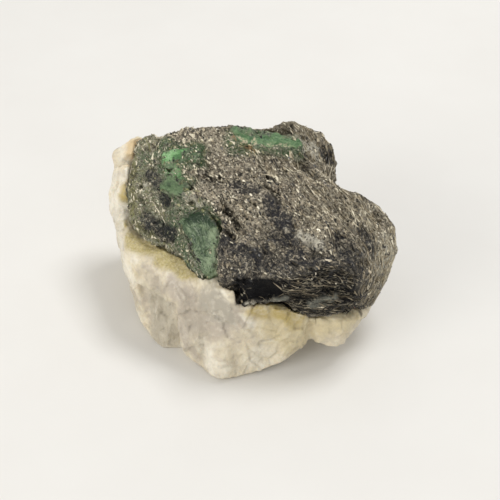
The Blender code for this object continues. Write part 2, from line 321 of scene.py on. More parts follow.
class Solid:
    """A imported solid, for asking how far a point is from it."""

    def __init__(self, node: str) -> None:
        """Sort the solid's faces for quick searches.

        Args:
            node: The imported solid's name.
        """
        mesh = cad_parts[node].data
        places = [vertex.co / MM for vertex in mesh.vertices]
        self.tree = BVHTree.FromPolygons(places, [tuple(face.vertices) for face in mesh.polygons])

    def distance(self, points: Numbers, limit: float) -> Numbers:
        """The distance from each point to the solid's surface, at most the limit."""
        found = (self.tree.find_nearest(point, limit)[3] for point in points)
        return np.array([limit if distance is None else distance for distance in found])


class Skin:
    """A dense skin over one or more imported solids."""

    def __init__(self, name: str, nodes: dict[str, float], cell: float, wear: int,
                 closed: Iterable[Patch] = (), closing: float = 0.9) -> None:
        """Draw the skin.

        Args:
            name: The piece's name.
            nodes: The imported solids' names, and how far each is grown first.
            cell: The size of the skin's faces.
            wear: Smoothing passes that take the solids' facets off.
            closed: Where narrow clefts in the solids are healed.
            closing: Half the width of the widest cleft that is healed.
        """
        self.marks: dict[str, Numbers] = {}
        shape = bmesh.new()
        for node, growth in nodes.items():
            part = bmesh.new()
            part.from_mesh(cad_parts[node].data)
            bmesh.ops.remove_doubles(part, verts=part.verts, dist=0.001 * MM)
            part.normal_update()
            healed = self.healed(np.array([vertex.co / MM for vertex in part.verts]), closed)
            for vertex, share in zip(part.verts, healed):
                vertex.co += vertex.normal * (growth + closing * share) * MM
            mesh = bpy.data.meshes.new(node)
            part.to_mesh(mesh)
            part.free()
            shape.from_mesh(mesh)
            bpy.data.meshes.remove(mesh)
        mesh = bpy.data.meshes.new(name)
        shape.to_mesh(mesh)
        shape.free()
        self.item = new_object(name, mesh)
        remesh = self.item.modifiers.new("skin", "REMESH")
        remesh.mode = "VOXEL"
        remesh.voxel_size = cell * MM
        smooth = self.item.modifiers.new("wear", "SMOOTH")
        smooth.factor = 0.5
        smooth.iterations = wear
        self.item.data = settle(self.item)
        self.item.modifiers.clear()
        self.places = self.read(self.item.data.vertices, "co") / MM
        self.normals = self.read(self.item.data.vertex_normals, "vector")
        self.move(-closing * self.healed(self.places, closed))

    def healed(self, points: Numbers, closed: Iterable[Patch]) -> Numbers:
        """How far each point is inside a place whose clefts are healed."""
        return np.max([patch.share(points) for patch in closed], axis=0) if closed else np.zeros(len(points))

    def read(self, source: bpy.types.bpy_prop_collection, what: str) -> Numbers:
        """Read three numbers for each vertex.

        Args:
            source: What holds them.
            what: Their name there.

        Returns:
            A row of three for each vertex.
        """
        numbers = np.empty(len(source) * 3, np.float32)
        source.foreach_get(what, numbers)
        return numbers.reshape(-1, 3).astype(float)

    def move(self, heights: Numbers) -> None:
        """Push the skin outwards along its normals, and read the new normals.

        Args:
            heights: How far each point moves. Below 0 it moves inwards.
        """
        self.places = self.places + self.normals * heights[:, None]
        self.item.data.vertices.foreach_set("co", (self.places * MM).astype(np.float32).ravel())
        self.item.data.update()
        self.normals = self.read(self.item.data.vertex_normals, "vector")

    def mark(self, **marks: Numbers) -> None:
        """Keep named numbers for each vertex, for the material and for other pieces to read."""
        self.marks.update(marks)
        keep_marks(self.item.data, marks)

    def finish(self, material: bpy.types.Material, slot: str, replaced: Iterable[str]) -> bpy.types.Object:
        """Dress the piece and set it in the frame.

        Args:
            material: What it is dressed in.
            slot: The record's material slot.
            replaced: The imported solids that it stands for.

        Returns:
            The finished object.
        """
        self.item.data.materials.clear()
        self.item.data.materials.append(material)
        self.item.data.shade_smooth()
        return place_piece(self.item, slot, replaced)


def keep_marks(mesh: bpy.types.Mesh, marks: dict[str, Numbers]) -> None:
    """Keep named numbers for each vertex of a mesh, for its material to read.

    Args:
        mesh: The mesh.
        marks: The names, and one number for each vertex under each name.
    """
    for name, values in marks.items():
        attribute = mesh.attributes.new(name, "FLOAT", "POINT")
        attribute.data.foreach_set("value", values.astype(np.float32))


def place_piece(item: bpy.types.Object, slot: str, replaced: Iterable[str] = ()) -> bpy.types.Object:
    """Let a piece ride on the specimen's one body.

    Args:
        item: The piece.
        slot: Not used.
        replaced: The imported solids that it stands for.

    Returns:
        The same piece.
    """
    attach(item, "root")
    for node in replaced:
        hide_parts(node)
    log.info("%s: %d faces", item.name, len(item.data.polygons))
    return item


# -------------------- Shader graphs --------------------

Socket = bpy.types.NodeSocket
Feed = Socket | float | tuple


class Graph:
    """Adds nodes to one tree and links them."""

    def __init__(self, tree: bpy.types.NodeTree) -> None:
        """Keep the tree."""
        self.tree = tree

    def node(self, kind: str, feeds: dict[str | int, Feed], **settings: object) -> bpy.types.Node:
        """Add a node.

        Args:
            kind: The node's type, without the ShaderNode in front.
            feeds: What each input gets: another node's output, or a value.
            settings: The node's own settings.

        Returns:
            The node.
        """
        node = self.tree.nodes.new("ShaderNode" + kind)
        for name, value in settings.items():
            setattr(node, name, value)
        for name, value in feeds.items():
            if isinstance(value, bpy.types.NodeSocket):
                self.tree.links.new(value, node.inputs[name])
            else:
                node.inputs[name].default_value = value
        return node

    def math(self, operation: str, *values: Feed) -> Socket:
        """Work out a sum on one or two numbers."""
        return self.node("Math", dict(enumerate(values)), operation=operation).outputs[0]

    def plus(self, first: Feed, second: Feed) -> Socket:
        """Add two numbers."""
        return self.math("ADD", first, second)

    def times(self, *shares: Feed | str) -> Socket:
        """Multiply two or more shares. A name stands for the mark that was kept under it."""
        feeds = [self.mark(share) if isinstance(share, str) else share for share in shares]
        return reduce(lambda total, share: self.math("MULTIPLY", total, share), feeds)

    def vector(self, operation: str, first: Feed, second: Feed) -> Socket:
        """Work out a sum on two vectors. A dot product comes out as a number."""
        node = self.node("VectorMath", {0: first, 1: second}, operation=operation)
        return node.outputs["Value" if operation == "DOT_PRODUCT" else "Vector"]

    def scaled(self, vector: Socket, factor: Feed) -> Socket:
        """Multiply a vector by a number."""
        return self.node("VectorMath", {0: vector, "Scale": factor}, operation="SCALE").outputs[0]

    def spread(self, value: Feed, low: float, high: float, to_low: float = 0.0,
               to_high: float = 1.0) -> Socket:
        """Stretch a range of a number over another range."""
        feeds = {"Value": value, "From Min": low, "From Max": high, "To Min": to_low, "To Max": to_high}
        return self.node("MapRange", feeds).outputs["Result"]

    def noise(self, where: Socket, size: float, detail: float = 3.0, roughness: float = 0.55,
              distortion: float = 0.0) -> Socket:
        """A noise whose lumps are about one size, in the unit of the place."""
        feeds = {"Vector": where, "Scale": 1.0 / size, "Detail": detail, "Roughness": roughness,
                 "Distortion": distortion}
        return self.node("TexNoise", feeds).outputs["Fac"]

    def mix(self, share: Feed, first: Feed, second: Feed, blend: str = "MIX") -> Socket:
        """Mix two colours."""
        node = self.node("Mix", {0: share, 6: first, 7: second}, data_type="RGBA", blend_type=blend)
        return node.outputs[2]

    def shades(self, value: Feed, stops: Iterable[tuple[float, Colour]]) -> Socket:
        """Turn a number into a colour by a ramp of stops.

        Args:
            value: The number.
            stops: The ramp's positions and their colours.

        Returns:
            The colour.
        """
        node = self.node("ValToRGB", {"Fac": value})
        elements = node.color_ramp.elements
        stops = list(stops)
        while len(elements) < len(stops):
            elements.new(1.0)
        for element, (position, colour) in zip(elements, stops):
            element.position = position
            element.color = (*colour, 1.0)
        return node.outputs["Color"]

    def mark(self, name: str) -> Socket:
        """Read a number that was kept for each vertex."""
        return self.node("Attribute", {}, attribute_name=name).outputs["Fac"]


class GroupGraph(Graph):
    """A node group under construction."""

    def __init__(self, name: str, takes: dict[str, str], gives: dict[str, str]) -> None:
        """Make the group and its sockets.

        Args:
            name: The group's name.
            takes: The inputs' names and socket types.
            gives: The outputs' names and socket types.
        """
        super().__init__(bpy.data.node_groups.new(name, "ShaderNodeTree"))
        for side, sockets in (("INPUT", takes), ("OUTPUT", gives)):
            for socket, kind in sockets.items():
                self.tree.interface.new_socket(socket, in_out=side, socket_type="NodeSocket" + kind)
        self.takes = self.tree.nodes.new("NodeGroupInput").outputs
        self.gives = self.tree.nodes.new("NodeGroupOutput").inputs

    def give(self, name: str, value: Socket) -> None:
        """Link a value to one of the group's outputs."""
        self.tree.links.new(value, self.gives[name])


def grain_group() -> bpy.types.NodeTree:
    """Build the group for crystal grains.

    Returns:
        The group. It takes a place and the grains' size, and gives the pale grains, the dark ones and
        a height.
    """
    graph = GroupGraph("crystal_grain", {"Vector": "Vector", "Size": "Float"},
                       {"Pale": "Float", "Dark": "Float", "Height": "Float"})
    shrink = graph.math("DIVIDE", 1.0, graph.takes["Size"])
    where = graph.scaled(graph.takes["Vector"], shrink)
    wobble = graph.node("TexNoise", {"Vector": where, "Scale": 1.7, "Detail": 2.0}).outputs["Color"]
    bent = graph.vector("ADD", where, wobble)
    cells = graph.node("TexVoronoi", {"Vector": bent, "Scale": 1.0})
    number = graph.node("SeparateColor", {0: cells.outputs["Color"]}).outputs[0]
    fleck = graph.plus(number, graph.times(graph.noise(where, 0.45, 3.0, 0.7), 0.7))
    graph.give("Pale", graph.spread(fleck, 0.98, 1.22))
    graph.give("Dark", graph.spread(fleck, 0.62, 0.42))
    dome = graph.spread(cells.outputs["Distance"], 0.0, 0.7, 1.0, 0.0)
    graph.give("Height", graph.plus(dome, graph.times(fleck, 0.4)))
    return graph.tree


def streak_group() -> bpy.types.NodeTree:
    """Build the group for streaks along a direction.

    Returns:
        The group. It takes a place, two directions, a spacing and a length, and gives broad streaks,
        fine ones and wavy wisps.
    """
    graph = GroupGraph("streaks", {"Vector": "Vector", "Direction": "Vector", "Across": "Vector",
                                   "Spacing": "Float", "Length": "Float"},
                       {"Mask": "Float", "Fine": "Float", "Wisp": "Float"})
    third = graph.vector("CROSS_PRODUCT", graph.takes["Direction"], graph.takes["Across"])
    wobble = graph.node("TexNoise", {"Vector": graph.takes["Vector"], "Scale": 0.22, "Detail": 2.0})
    bent = graph.vector("ADD", graph.takes["Vector"], graph.scaled(wobble.outputs["Color"], 5.0))
    ways = ((graph.takes["Direction"], "Length"), (graph.takes["Across"], "Spacing"), (third, "Spacing"))
    where = graph.node("CombineXYZ", {
        axis: graph.math("DIVIDE", graph.vector("DOT_PRODUCT", bent, way), graph.takes[size])
        for axis, (way, size) in enumerate(ways)
    }).outputs[0]
    coarse = graph.noise(where, 1.0, 4.0, 0.6, 0.3)
    fine = graph.noise(where, 0.4, 3.0, 0.65, 0.2)
    graph.give("Mask", graph.spread(coarse, 0.36, 0.64))
    graph.give("Fine", graph.spread(fine, 0.38, 0.62))
    wave = graph.noise(where, 1.6, 2.0, 0.5, 0.6)
    graph.give("Wisp", graph.spread(graph.math("ABSOLUTE", graph.math("SUBTRACT", wave, 0.5)), 0.030, 0.0))
    return graph.tree


class Workshop:
    """The groups that several materials share."""

    def __init__(self) -> None:
        """Build each group once."""
        self.grain = grain_group()
        self.streaks = streak_group()


class Dressing(Graph):
    """A material under construction, with one Principled shader."""

    def __init__(self, name: str, workshop: Workshop, settings: dict[str, Feed]) -> None:
        """Make the material.

        Args:
            name: The material's name.
            workshop: The shared groups.
            settings: The shader's own plain values.
        """
        self.material = bpy.data.materials.new(name)
        self.material.use_nodes = True
        super().__init__(self.material.node_tree)
        self.workshop = workshop
        self.colour: Feed = (0.0, 0.0, 0.0, 1.0)
        self.shader = self.tree.nodes["Principled BSDF"]
        for socket, value in settings.items():
            self.shader.inputs[socket].default_value = value
        place = self.node("TexCoord", {}).outputs["Object"]
        self.where = self.scaled(place, 1.0 / MM)

    def grain(self, size: float) -> bpy.types.Node:
        """Place crystal grain of one size."""
        return self.node("Group", {"Vector": self.where, "Size": size}, node_tree=self.workshop.grain)

    def streaks(self, direction: Place, spacing: float, length: float) -> bpy.types.Node:
        """Place streaks.

        Args:
            direction: The way that they run.
            spacing: How far apart they are.
            length: How long they are.

        Returns:
            The group's node.
        """
        along = Vector(direction).normalized()
        feeds = {
            "Vector": self.where, "Direction": tuple(along), "Across": tuple(along.orthogonal().normalized()),
            "Spacing": spacing, "Length": length,
        }
        return self.node("Group", feeds, node_tree=self.workshop.streaks)

    def lay(self, coat: Colour, strength: float, *shares: Feed | str) -> None:
        """Lay a plain colour over the colour so far, by the product of some shares and a strength."""
        self.colour = self.mix(self.times(*shares, strength), self.colour, (*coat, 1.0))

    def bump(self, height: Socket, depth: float, strength: float) -> Socket:
        """Turn heights into a normal.

        Args:
            height: Heights from 0 to 1.
            depth: What 1 is, in millimetres.
            strength: How much of it shows.

        Returns:
            The normal.
        """
        return self.node("Bump", {"Height": height, "Distance": depth * MM, "Strength": strength}).outputs[0]

    def wear(self, socket: str, value: Socket) -> None:
        """Link a value to one of the shader's inputs."""
        self.tree.links.new(value, self.shader.inputs[socket])


# -------------------- Mica schist --------------------


class Lineation(Enum):
    """The way that the schist's streaks run on each side of it, how far apart they are and how long."""

    SHOULDER = ((0.61, -0.73, -0.32), 0.45, 7.0)
    RIGHT_END = ((-0.44, -0.44, -0.78), 0.85, 14.0)
    FRONT = ((0.99, 0.10, -0.12), 0.45, 12.0)
    LEFT_END = ((0.45, -0.30, -0.84), 0.50, 5.5)

    def __init__(self, way: Place, spacing: float, length: float) -> None:
        """Keep the sizes.

        Args:
            way: The way that the streaks run.
            spacing: How far apart they are.
            length: How long they are.
        """
        self.way = way
        self.spacing = spacing
        self.length = length


@dataclass(frozen=True)
class SchistFinish:
    """Dark mica schist: brown-grey grain with pale feldspar, blue-black mica and green chlorite."""

    black: Colour = (0.010, 0.009, 0.007)
    brown: Colour = (0.098, 0.083, 0.058)
    grey: Colour = (0.190, 0.168, 0.124)
    tan: Colour = (0.330, 0.290, 0.213)
    cream: Colour = (0.64, 0.57, 0.44)
    white: Colour = (0.74, 0.70, 0.58)
    rosy: Colour = (0.40, 0.285, 0.205)
    jet: Colour = (0.0035, 0.0035, 0.005)
    blue_black: Colour = (0.021, 0.022, 0.028)
    silver: Colour = (0.40, 0.37, 0.295)
    bright_silver: Colour = (0.56, 0.53, 0.44)
    dull_silver: Colour = (0.205, 0.21, 0.175)
    steel: Colour = (0.42, 0.40, 0.33)
    bronze: Colour = (0.36, 0.32, 0.23)
    chlorite: Colour = (0.27, 0.295, 0.175)
    pale_green: Colour = (0.60, 0.63, 0.48)
    emerald_stain: Colour = (0.078, 0.138, 0.064)
    crust: Colour = (0.200, 0.390, 0.165)
    olive: Colour = (0.25, 0.24, 0.095)
    rust_brown: Colour = (0.42, 0.26, 0.12)
    grain_size: float = 0.9
    fine_grain_size: float = 0.36

    def material(self, workshop: Workshop) -> bpy.types.Material:
        """Build the material.

        Args:
            workshop: The shared groups.

        Returns:
            The material.
        """
        graph = Dressing("mica_schist", workshop, {"Specular IOR Level": 0.22})
        coarse = graph.grain(self.grain_size)
        fine = graph.grain(self.fine_grain_size)
        tone = graph.noise(graph.where, 0.75, 4.0, 0.75)
        broad = graph.noise(graph.where, 7.0, 3.0, 0.6)
        tone = graph.plus(tone, graph.spread(broad, 0.3, 0.7, -0.05, 0.05))
        patchy = graph.noise(graph.where, 2.6, 2.0, 0.5)
        tone = graph.plus(tone, graph.spread(patchy, 0.35, 0.65, -0.055, 0.055))
        graph.colour = graph.shades(tone, [
            (0.405, self.black), (0.455, self.brown), (0.495, self.grey),
            (0.54, self.tan), (0.60, self.cream),
        ])
        pale = graph.math("MAXIMUM", graph.times(coarse.outputs["Pale"], 0.6), fine.outputs["Pale"])
        graph.lay(self.cream, 0.6, pale, "granular")
        graph.lay(self.rosy, 0.30, "granular", graph.spread(graph.noise(graph.where, 1.3), 0.52, 0.62))
        graph.lay(self.black, 0.75, fine.outputs["Dark"])
        lines, hairs, wisps = self.lines(graph)
        graph.lay(self.steel, 0.8, "right_end")
        graph.lay(self.chlorite, 0.9, "left_end", graph.spread(tone, 0.66, 0.40))
        graph.lay(self.emerald_stain, 0.9, "stain", graph.spread(tone, 0.80, 0.50))
        graph.lay(self.crust, 0.95, "crust", graph.spread(tone, 0.68, 0.52))
        specks = graph.noise(graph.where, 0.55, 4.0, 0.75)
        graph.lay(self.pale_green, 0.8, "left_end", graph.spread(specks, 0.54, 0.60))
        graph.lay(self.olive, 0.8, "olive")
        graph.lay(self.rust_brown, 0.8, "rust", graph.spread(tone, 0.44, 0.52))
        # Painted light: lightens the whole knob, making up for the shade the key light leaves on it.
        graph.lay(self.tan, 0.4, "knob")
        graph.lay(self.silver, 0.55, graph.spread(lines, 0.62, 0.95))
        graph.lay(self.silver, 0.7, wisps)
        graph.lay(self.bright_silver, 0.85, "right_end", graph.spread(lines, 0.40, 0.75))
        graph.lay(self.brown, 0.55, "right_end", graph.spread(lines, 0.30, 0.10))
        graph.lay(self.black, 0.7, graph.spread(hairs, 0.45, 0.10), lines)
        graph.lay(self.blue_black, 0.92, "black_mica", graph.spread(tone, 0.70, 0.50))
        graph.lay(self.bronze, 0.5, wisps, "black_mica")
        crumbs = graph.spread(fine.outputs["Dark"], 1.0, 0.2)
        # The feldspar's white also paints the two glints on the front, as painted highlights.
        graph.lay(self.white, 0.9, "feldspar", crumbs, graph.spread(tone, 0.40, 0.52, 0.6, 1.0))
        graph.lay(self.jet, 0.97, "front")
        banded = graph.times("bands", graph.spread(lines, 0.60, 0.95))
        graph.lay(self.bronze, 0.95, banded, graph.spread(hairs, 0.2, 0.7, 0.3))
        graph.lay(self.dull_silver, 0.9, "silvery", graph.spread(lines, 0.15, 0.8, 0.75, 1.0))
        # Painted shade: black in the pits of the fine relief and along the seam where the slab overhangs the
        # quartz.
        graph.lay(self.black, 0.95, "pit_and_seam_shade")
        graph.wear("Base Color", graph.colour)
        dullness = graph.spread(fine.outputs["Height"], 0.2, 1.1, 0.66, 0.46)
        graph.wear("Roughness", graph.plus(dullness, graph.times("black_mica", -0.12)))
        height = graph.plus(graph.times(coarse.outputs["Height"], 0.5), fine.outputs["Height"])
        height = graph.times(height, graph.spread(graph.mark("front"), 0.0, 1.0, 1.0, 0.25))
        graph.wear("Normal", graph.bump(graph.plus(height, graph.times(hairs, 0.9)), 0.20, 0.9))
        return graph.material

    def lines(self, graph: Dressing) -> tuple[Socket, Socket, Socket]:
        """Lay the streaks of every side.

        Args:
            graph: The material under construction.

        Returns:
            The broad lines, the hair lines and the wavy wisps, each 0 where a side has none.
        """
        totals = {"Mask": None, "Fine": None, "Wisp": None}
        for side in Lineation:
            streaks = graph.streaks(side.way, side.spacing, side.length)
            here = graph.mark(side.name.lower())
            for kind, total in totals.items():
                line = graph.times(streaks.outputs[kind], here)
                totals[kind] = line if total is None else graph.math("MAXIMUM", total, line)
        return totals["Mask"], totals["Fine"], totals["Wisp"]


@dataclass
class SchistSlab:
    """The schist, with its front ledges, lineation, grain, pits and the beds of its four crystals."""

    cell: float = 0.27
    wear: int = 5
    front_top: Span = (26.6, 25.4)
    front_steepness: Span = (0.1, 0.5)
    front_reach: Span = (14.5, 17.0)
    front_start: Span = (-4.0, -2.6)
    right_start: Span = (25.5, 28.5)
    right_steepness: Span = (0.3, 0.9)
    left_step_y: tuple[float, ...] = (-16.0, -5.9, 1.9, 7.7, 20.0)
    left_step_x: tuple[float, ...] = (-6.2, -6.2, -13.5, -17.0, -19.0)
    shoulder_blend: Span = (-12.0, 0.0)
    knob_rear: Span = (13.0, 15.5)
    knob_right: Span = (2.5, 5.0)
    block_start: Span = (-3.4, -2.6)
    block_end: Span = (7.4, 6.2)
    side_wander: float = 5.0
    lump_size: float = 5.0
    swelling: float = 0.45
    break_size: float = 4.2
    break_height: float = 0.3
    grain_size: float = 1.3
    grain_height: float = 0.24
    cobble_size: float = 0.6
    cobble_height: float = 0.16
    cobble_unevenness: float = 0.14
    chip_size: float = 1.4
    chip_height: float = 0.16
    streak_height: float = 0.30
    lens_height: float = 0.5
    lip_height: float = 0.35
    crystals: tuple[str, ...] = ("emerald_front", "emerald_left", "emerald_left_low", "emerald_top")
    crystal_growth: float = 0.5
    crystal_bed: float = 1.25
    contact: float = 0.25
    ledge_height: float = 1.3
    ledge_depth: float = 1.0
    block_depth: float = 0.85
    dip_depth: float = 2.0
    lump_height: float = 0.5
    pit_depth: float = 1.0
    hole_depth: float = 0.6
    rim_cut: float = 1.3
    covers: tuple[Patch, ...] = (
        Patch((6.2, 10.8, 36.0), (12.4, 11.3, 35.6), 1.9),
        Patch((-3.8, 12.2, 37.4), (0.2, 9.8, 36.2), 1.6),
        Patch((11.0, 11.4, 36.2), (11.0, 16.4, 36.4), 2.4),
        Patch((-13.0, 7.0, 35.0), (-10.0, 7.0, 35.8), 0.9),
        Patch((-18.8, 12.4, 34.7), (-15.4, 12.6, 35.4), 1.0),
        Patch((-13.4, 12.0, 36.2), (-10.4, 11.4, 36.2), 1.1),
        Patch((-12.4, 4.6, 33.2), (-12.2, 0.8, 32.4), 0.9),
        Patch((-17.8, 1.2, 30.8), (-14.4, 0.2, 31.0), 0.7),
    )
    bared: tuple[Patch, ...] = (Patch((-17.4, 7.6, 33.9), (-16.8, 6.9, 33.6), 0.65),)
    dips: tuple[Patch, ...] = (
        Patch((-2.4, 16.4, 38.0), (2.6, 17.4, 37.4), 2.1),
        Patch((2.6, 17.6, 37.0), (8.0, 17.4, 36.0), 1.8),
    )
    black_mica: tuple[Patch, ...] = (
        Patch((4.6, -3.4, 31.4), (7.4, -8.0, 30.0), 2.5),
        Patch((5.2, -10.6, 28.9), (9.8, -11.2, 28.6), 2.2),
        Patch((9.0, -15.0, 27.2), (16.0, -16.0, 26.8), 2.2),
        Patch((19.4, -10.4, 26.8), (22.4, -14.2, 24.4), 2.6),
        Patch((-4.8, -13.0, 28.0), (2.4, -15.0, 27.4), 2.6),
        Patch((-1.4, 7.0, 35.6), (1.6, 6.8, 35.8), 1.1),
        Patch((-3.4, 1.2, 33.0), (2.4, 0.6, 33.2), 1.4),
        Patch((-22.4, -0.6, 25.4), (-16.4, -4.0, 24.2), 2.3),
        Patch((-21.6, 8.4, 31.0), (-17.4, 1.0, 28.8), 1.5),
        Patch((17.4, 17.0, 32.4), (19.0, 17.4, 29.0), 2.6),
        Patch((15.6, 16.0, 33.4), (17.0, 15.0, 32.6), 1.5),
        Patch((23.6, -5.6, 27.0), (25.4, -9.4, 24.4), 1.6),
        Patch((26.4, -13.2, 19.8), (24.6, -15.6, 16.4), 0.45),
    )
    feldspar: tuple[Patch, ...] = (
        Patch((11.2, -9.8, 28.8), (14.4, -11.8, 27.9), 1.7),
        spot((7.4, -8.6, 29.6), 0.7),
        spot((-2.6, -9.8, 30.0), 0.8),
        Patch((12.0, 15.6, 33.8), (14.8, 15.6, 31.6), 2.2),
        spot((17.9, 16.2, 27.7), 0.9),
        Patch((-23.4, 9.0, 30.6), (-22.6, 5.6, 29.8), 0.6),
        spot((-10.4, 2.4, 33.6), 0.8),
    )
    lumps: tuple[Patch, ...] = (
        Patch((-13.8, 0.6, 31.4), (-11.6, -0.8, 31.0), 0.9),
        Patch((-11.0, -2.0, 30.8), (-9.4, -2.6, 31.2), 0.9),
        spot((12.9, -11.2, 28.2), 0.8),
        spot((7.2, -8.9, 29.3), 0.6),
    )
    # Painted highlights: two white spots where the front's mica glints.
    painted_glints: tuple[Patch, ...] = (spot((-0.6, -20.9, 20.0), 0.7), spot((1.0, -20.9, 19.5), 0.55))
    rust: tuple[Patch, ...] = (
        Patch((-3.4, 12.6, 37.2), (1.2, 9.6, 36.2), 0.9),
        spot((10.6, 0.2, 32.8), 0.5),
    )
    stains: tuple[Patch, ...] = (
        Patch((-15.8, -2.6, 27.2), (-12.6, -10.0, 23.4), 3.2),
        Patch((-18.0, -2.2, 25.6), (-14.0, -2.4, 28.4), 2.0),
        Patch((-17.0, 5.6, 32.4), (-14.6, 3.6, 32.2), 1.6),
        Patch((-13.4, -5.4, 26.6), (-12.0, -10.0, 23.2), 1.9),
        Patch((-23.4, 12.8, 32.4), (-18.0, 14.6, 34.6), 2.2),
    )
    crusts: tuple[Patch, ...] = (
        Patch((-17.6, 7.4, 33.8), (-15.8, 5.4, 33.2), 1.9),
    )
    olive: tuple[Patch, ...] = (
        Patch((-26.2, 14.0, 30.4), (-25.6, 2.0, 25.8), 1.5),
        Patch((-25.0, 0.0, 24.4), (-20.0, -4.0, 22.6), 0.9),
    )
    pits: tuple[Patch, ...] = (
        Patch((11.6, 7.9, 33.8), (13.0, 6.6, 33.2), 0.8),
        Patch((3.4, 5.6, 34.8), (4.2, 3.0, 34.2), 0.5),
        spot((7.8, 5.6, 34.2), 0.6),
        spot((10.9, -6.6, 29.7), 0.8),
        Patch((-9.2, 3.6, 33.9), (-7.9, 3.0, 33.8), 0.8),
        spot((-6.1, 3.5, 33.9), 0.6),
        Patch((3.6, 1.0, 33.4), (6.8, -1.0, 32.7), 0.4),
        Patch((11.4, 0.4, 32.6), (13.0, -0.4, 32.2), 0.35),
        Patch((-5.2, -3.2, 31.4), (-4.0, -4.8, 30.6), 0.9),
        Patch((-3.2, -6.4, 30.2), (-2.4, -8.4, 29.8), 0.8),
        Patch((-4.4, -9.0, 29.6), (-3.4, -10.8, 29.0), 0.7),
        Patch((0.2, -2.6, 31.9), (1.4, -3.6, 31.5), 0.5),
        Patch((-14.8, 2.2, 32.5), (-12.4, 1.5, 32.5), 0.65),
        Patch((9.4, 20.0, 36.4), (9.9, 18.8, 36.0), 0.45),
    )
    lens: Patch = Patch((13.2, -20.6, 19.2), (18.2, -19.8, 19.9), 1.25)
    lip: Patch = Patch((-0.6, -20.9, 19.2), (7.4, -21.2, 21.0), 0.85)

    def build(self, workshop: Workshop) -> Skin:
        """Build the slab.

        Args:
            workshop: The shared groups.

        Returns:
            Its skin, for what is set into it.
        """
        nodes = {"mica_schist": 0.0} | {name: self.crystal_growth for name in self.crystals}
        skin = Skin("schist_slab", nodes, self.cell, self.wear)
        beds = self.sink_crystal_beds(skin)
        skin.mark(stain=np.maximum(beds, covered(skin.places, self.stains, 1.2)))
        self.meet_quartz(skin)
        sides = self.sides(skin)
        skin.move(self.large_relief(skin, sides))
        fine = self.fine_relief(skin, sides)
        skin.move(fine)
        self.mark(skin, sides, fine)
        skin.finish(SchistFinish().material(workshop), "schist", ["mica_schist"])
        return skin

    def sink_crystal_beds(self, skin: Skin) -> Numbers:
        """Lower the skin where it runs over a crystal, so that the crystal stands out of it.

        Args:
            skin: The slab's skin.

        Returns:
            How near each point is to a crystal, from 0 to 1.
        """
        away = Solid("mica_schist").distance(skin.places, 2.0)
        uneven = 0.3 * rough_noise(skin.places, 1.4, Pattern.BED_EDGE)
        uneven = uneven - 1.2 * covered(skin.places, self.covers, 0.8)
        uneven = uneven + covered(skin.places, self.bared, 0.5)
        skin.move(-self.crystal_bed * ramp(away + uneven, 0.05, 0.55))
        near = np.min([Solid(name).distance(skin.places, 3.0) for name in self.crystals], axis=0)
        return ramp(near, 2.6, 0.6)

    def meet_quartz(self, skin: Skin) -> None:
        """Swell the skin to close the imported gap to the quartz."""
        near = ramp(Solid("quartz_base").distance(skin.places, 1.0), 0.8, 0.4)
        skin.move(self.contact * near)

    def sides(self, skin: Skin) -> dict[str, Numbers]:
        """Tell the slab's sides apart.

        Args:
            skin: The slab's skin.

        Returns:
            A share from 0 to 1 for each point, for each named side.
        """
        x, y, z = skin.places.T
        turn_x, turn_y, turn_z = skin.normals.T
        wander = rough_noise(skin.places, self.side_wander, Pattern.SIDE_EDGES)
        step_x = np.interp(y, self.left_step_y, self.left_step_x)
        front = ramp(z + 0.5 * wander - 0.12 * np.maximum(x - 12.0, 0.0), *self.front_top)
        front = front * ramp(-turn_y, *self.front_steepness) * ramp(-y, *self.front_reach)
        front = front * ramp(x, *self.front_start)
        right_end = ramp(x + 0.2 * z + 1.5 * wander, *self.right_start)
        right_end = right_end * ramp(turn_x - turn_y - 0.4 * turn_z, *self.right_steepness)
        front = front * (1.0 - right_end)
        left_end = ramp(step_x + 1.2 * wander - x, -0.6, 0.6)
        ridge = (x - 9.0) * 0.733 + (y - 10.0) * 0.68 + 1.5 * wander
        shoulder = (0.55 + 0.45 * ramp(ridge, *self.shoulder_blend)) * (1.0 - right_end)
        shoulder = shoulder * (1.0 - front) * (1.0 - left_end)
        knob = ramp(y, *self.knob_rear) * ramp(x, *self.knob_right)
        block = front * ramp(x, *self.block_start) * ramp(x, *self.block_end)
        return {
            "front": front, "left_end": left_end, "right_end": right_end, "shoulder": shoulder, "knob": knob,
            "block": block,
        }

    def large_relief(self, skin: Skin, sides: dict[str, Numbers]) -> Numbers:
        """Raise the slab's ledges and lumps, and sink its hollows.

        Args:
            skin: The slab's skin.
            sides: The shares of its sides.

        Returns:
            A height for each point.
        """
        lumps = self.swelling * rough_noise(skin.places, self.lump_size, Pattern.SLAB_LUMPS)
        breaks = broken_facets(skin.places, self.break_size, Pattern.SLAB_BREAKS)
        lumps = lumps + self.break_height * breaks
        x, _, z = skin.places.T
        waves = rough_noise(skin.places, 4.0, Pattern.LEDGE_WAVES)
        level = (z + 0.12 * x + 0.5 * waves) / self.ledge_height
        reach = 0.14 * x + 0.6 * smooth_noise(skin.places, 6.0, Pattern.LEDGE_ENDS)
        steps = np.floor(np.stack([level, reach, 0.0 * level], axis=1))
        ledges = cell_numbers(steps, Pattern.LEDGE_DEPTHS) - 0.6
        lens = self.lens.share(skin.places)
        lip = self.ragged_lip(skin.places)
        beds = sides["front"] * (1.0 - sides["block"])
        rim = self.rim_cut * ramp(z, 18.0, 16.2) * beds
        heights = lumps * (1.0 - sides["front"]) + self.ledge_depth * ledges * beds
        dips = covered(skin.places, self.dips, 1.0)
        heights -= self.block_depth * sides["block"] * (1.0 - lip) + rim + self.dip_depth * dips
        return heights + self.lens_height * lens + self.lip_height * lip

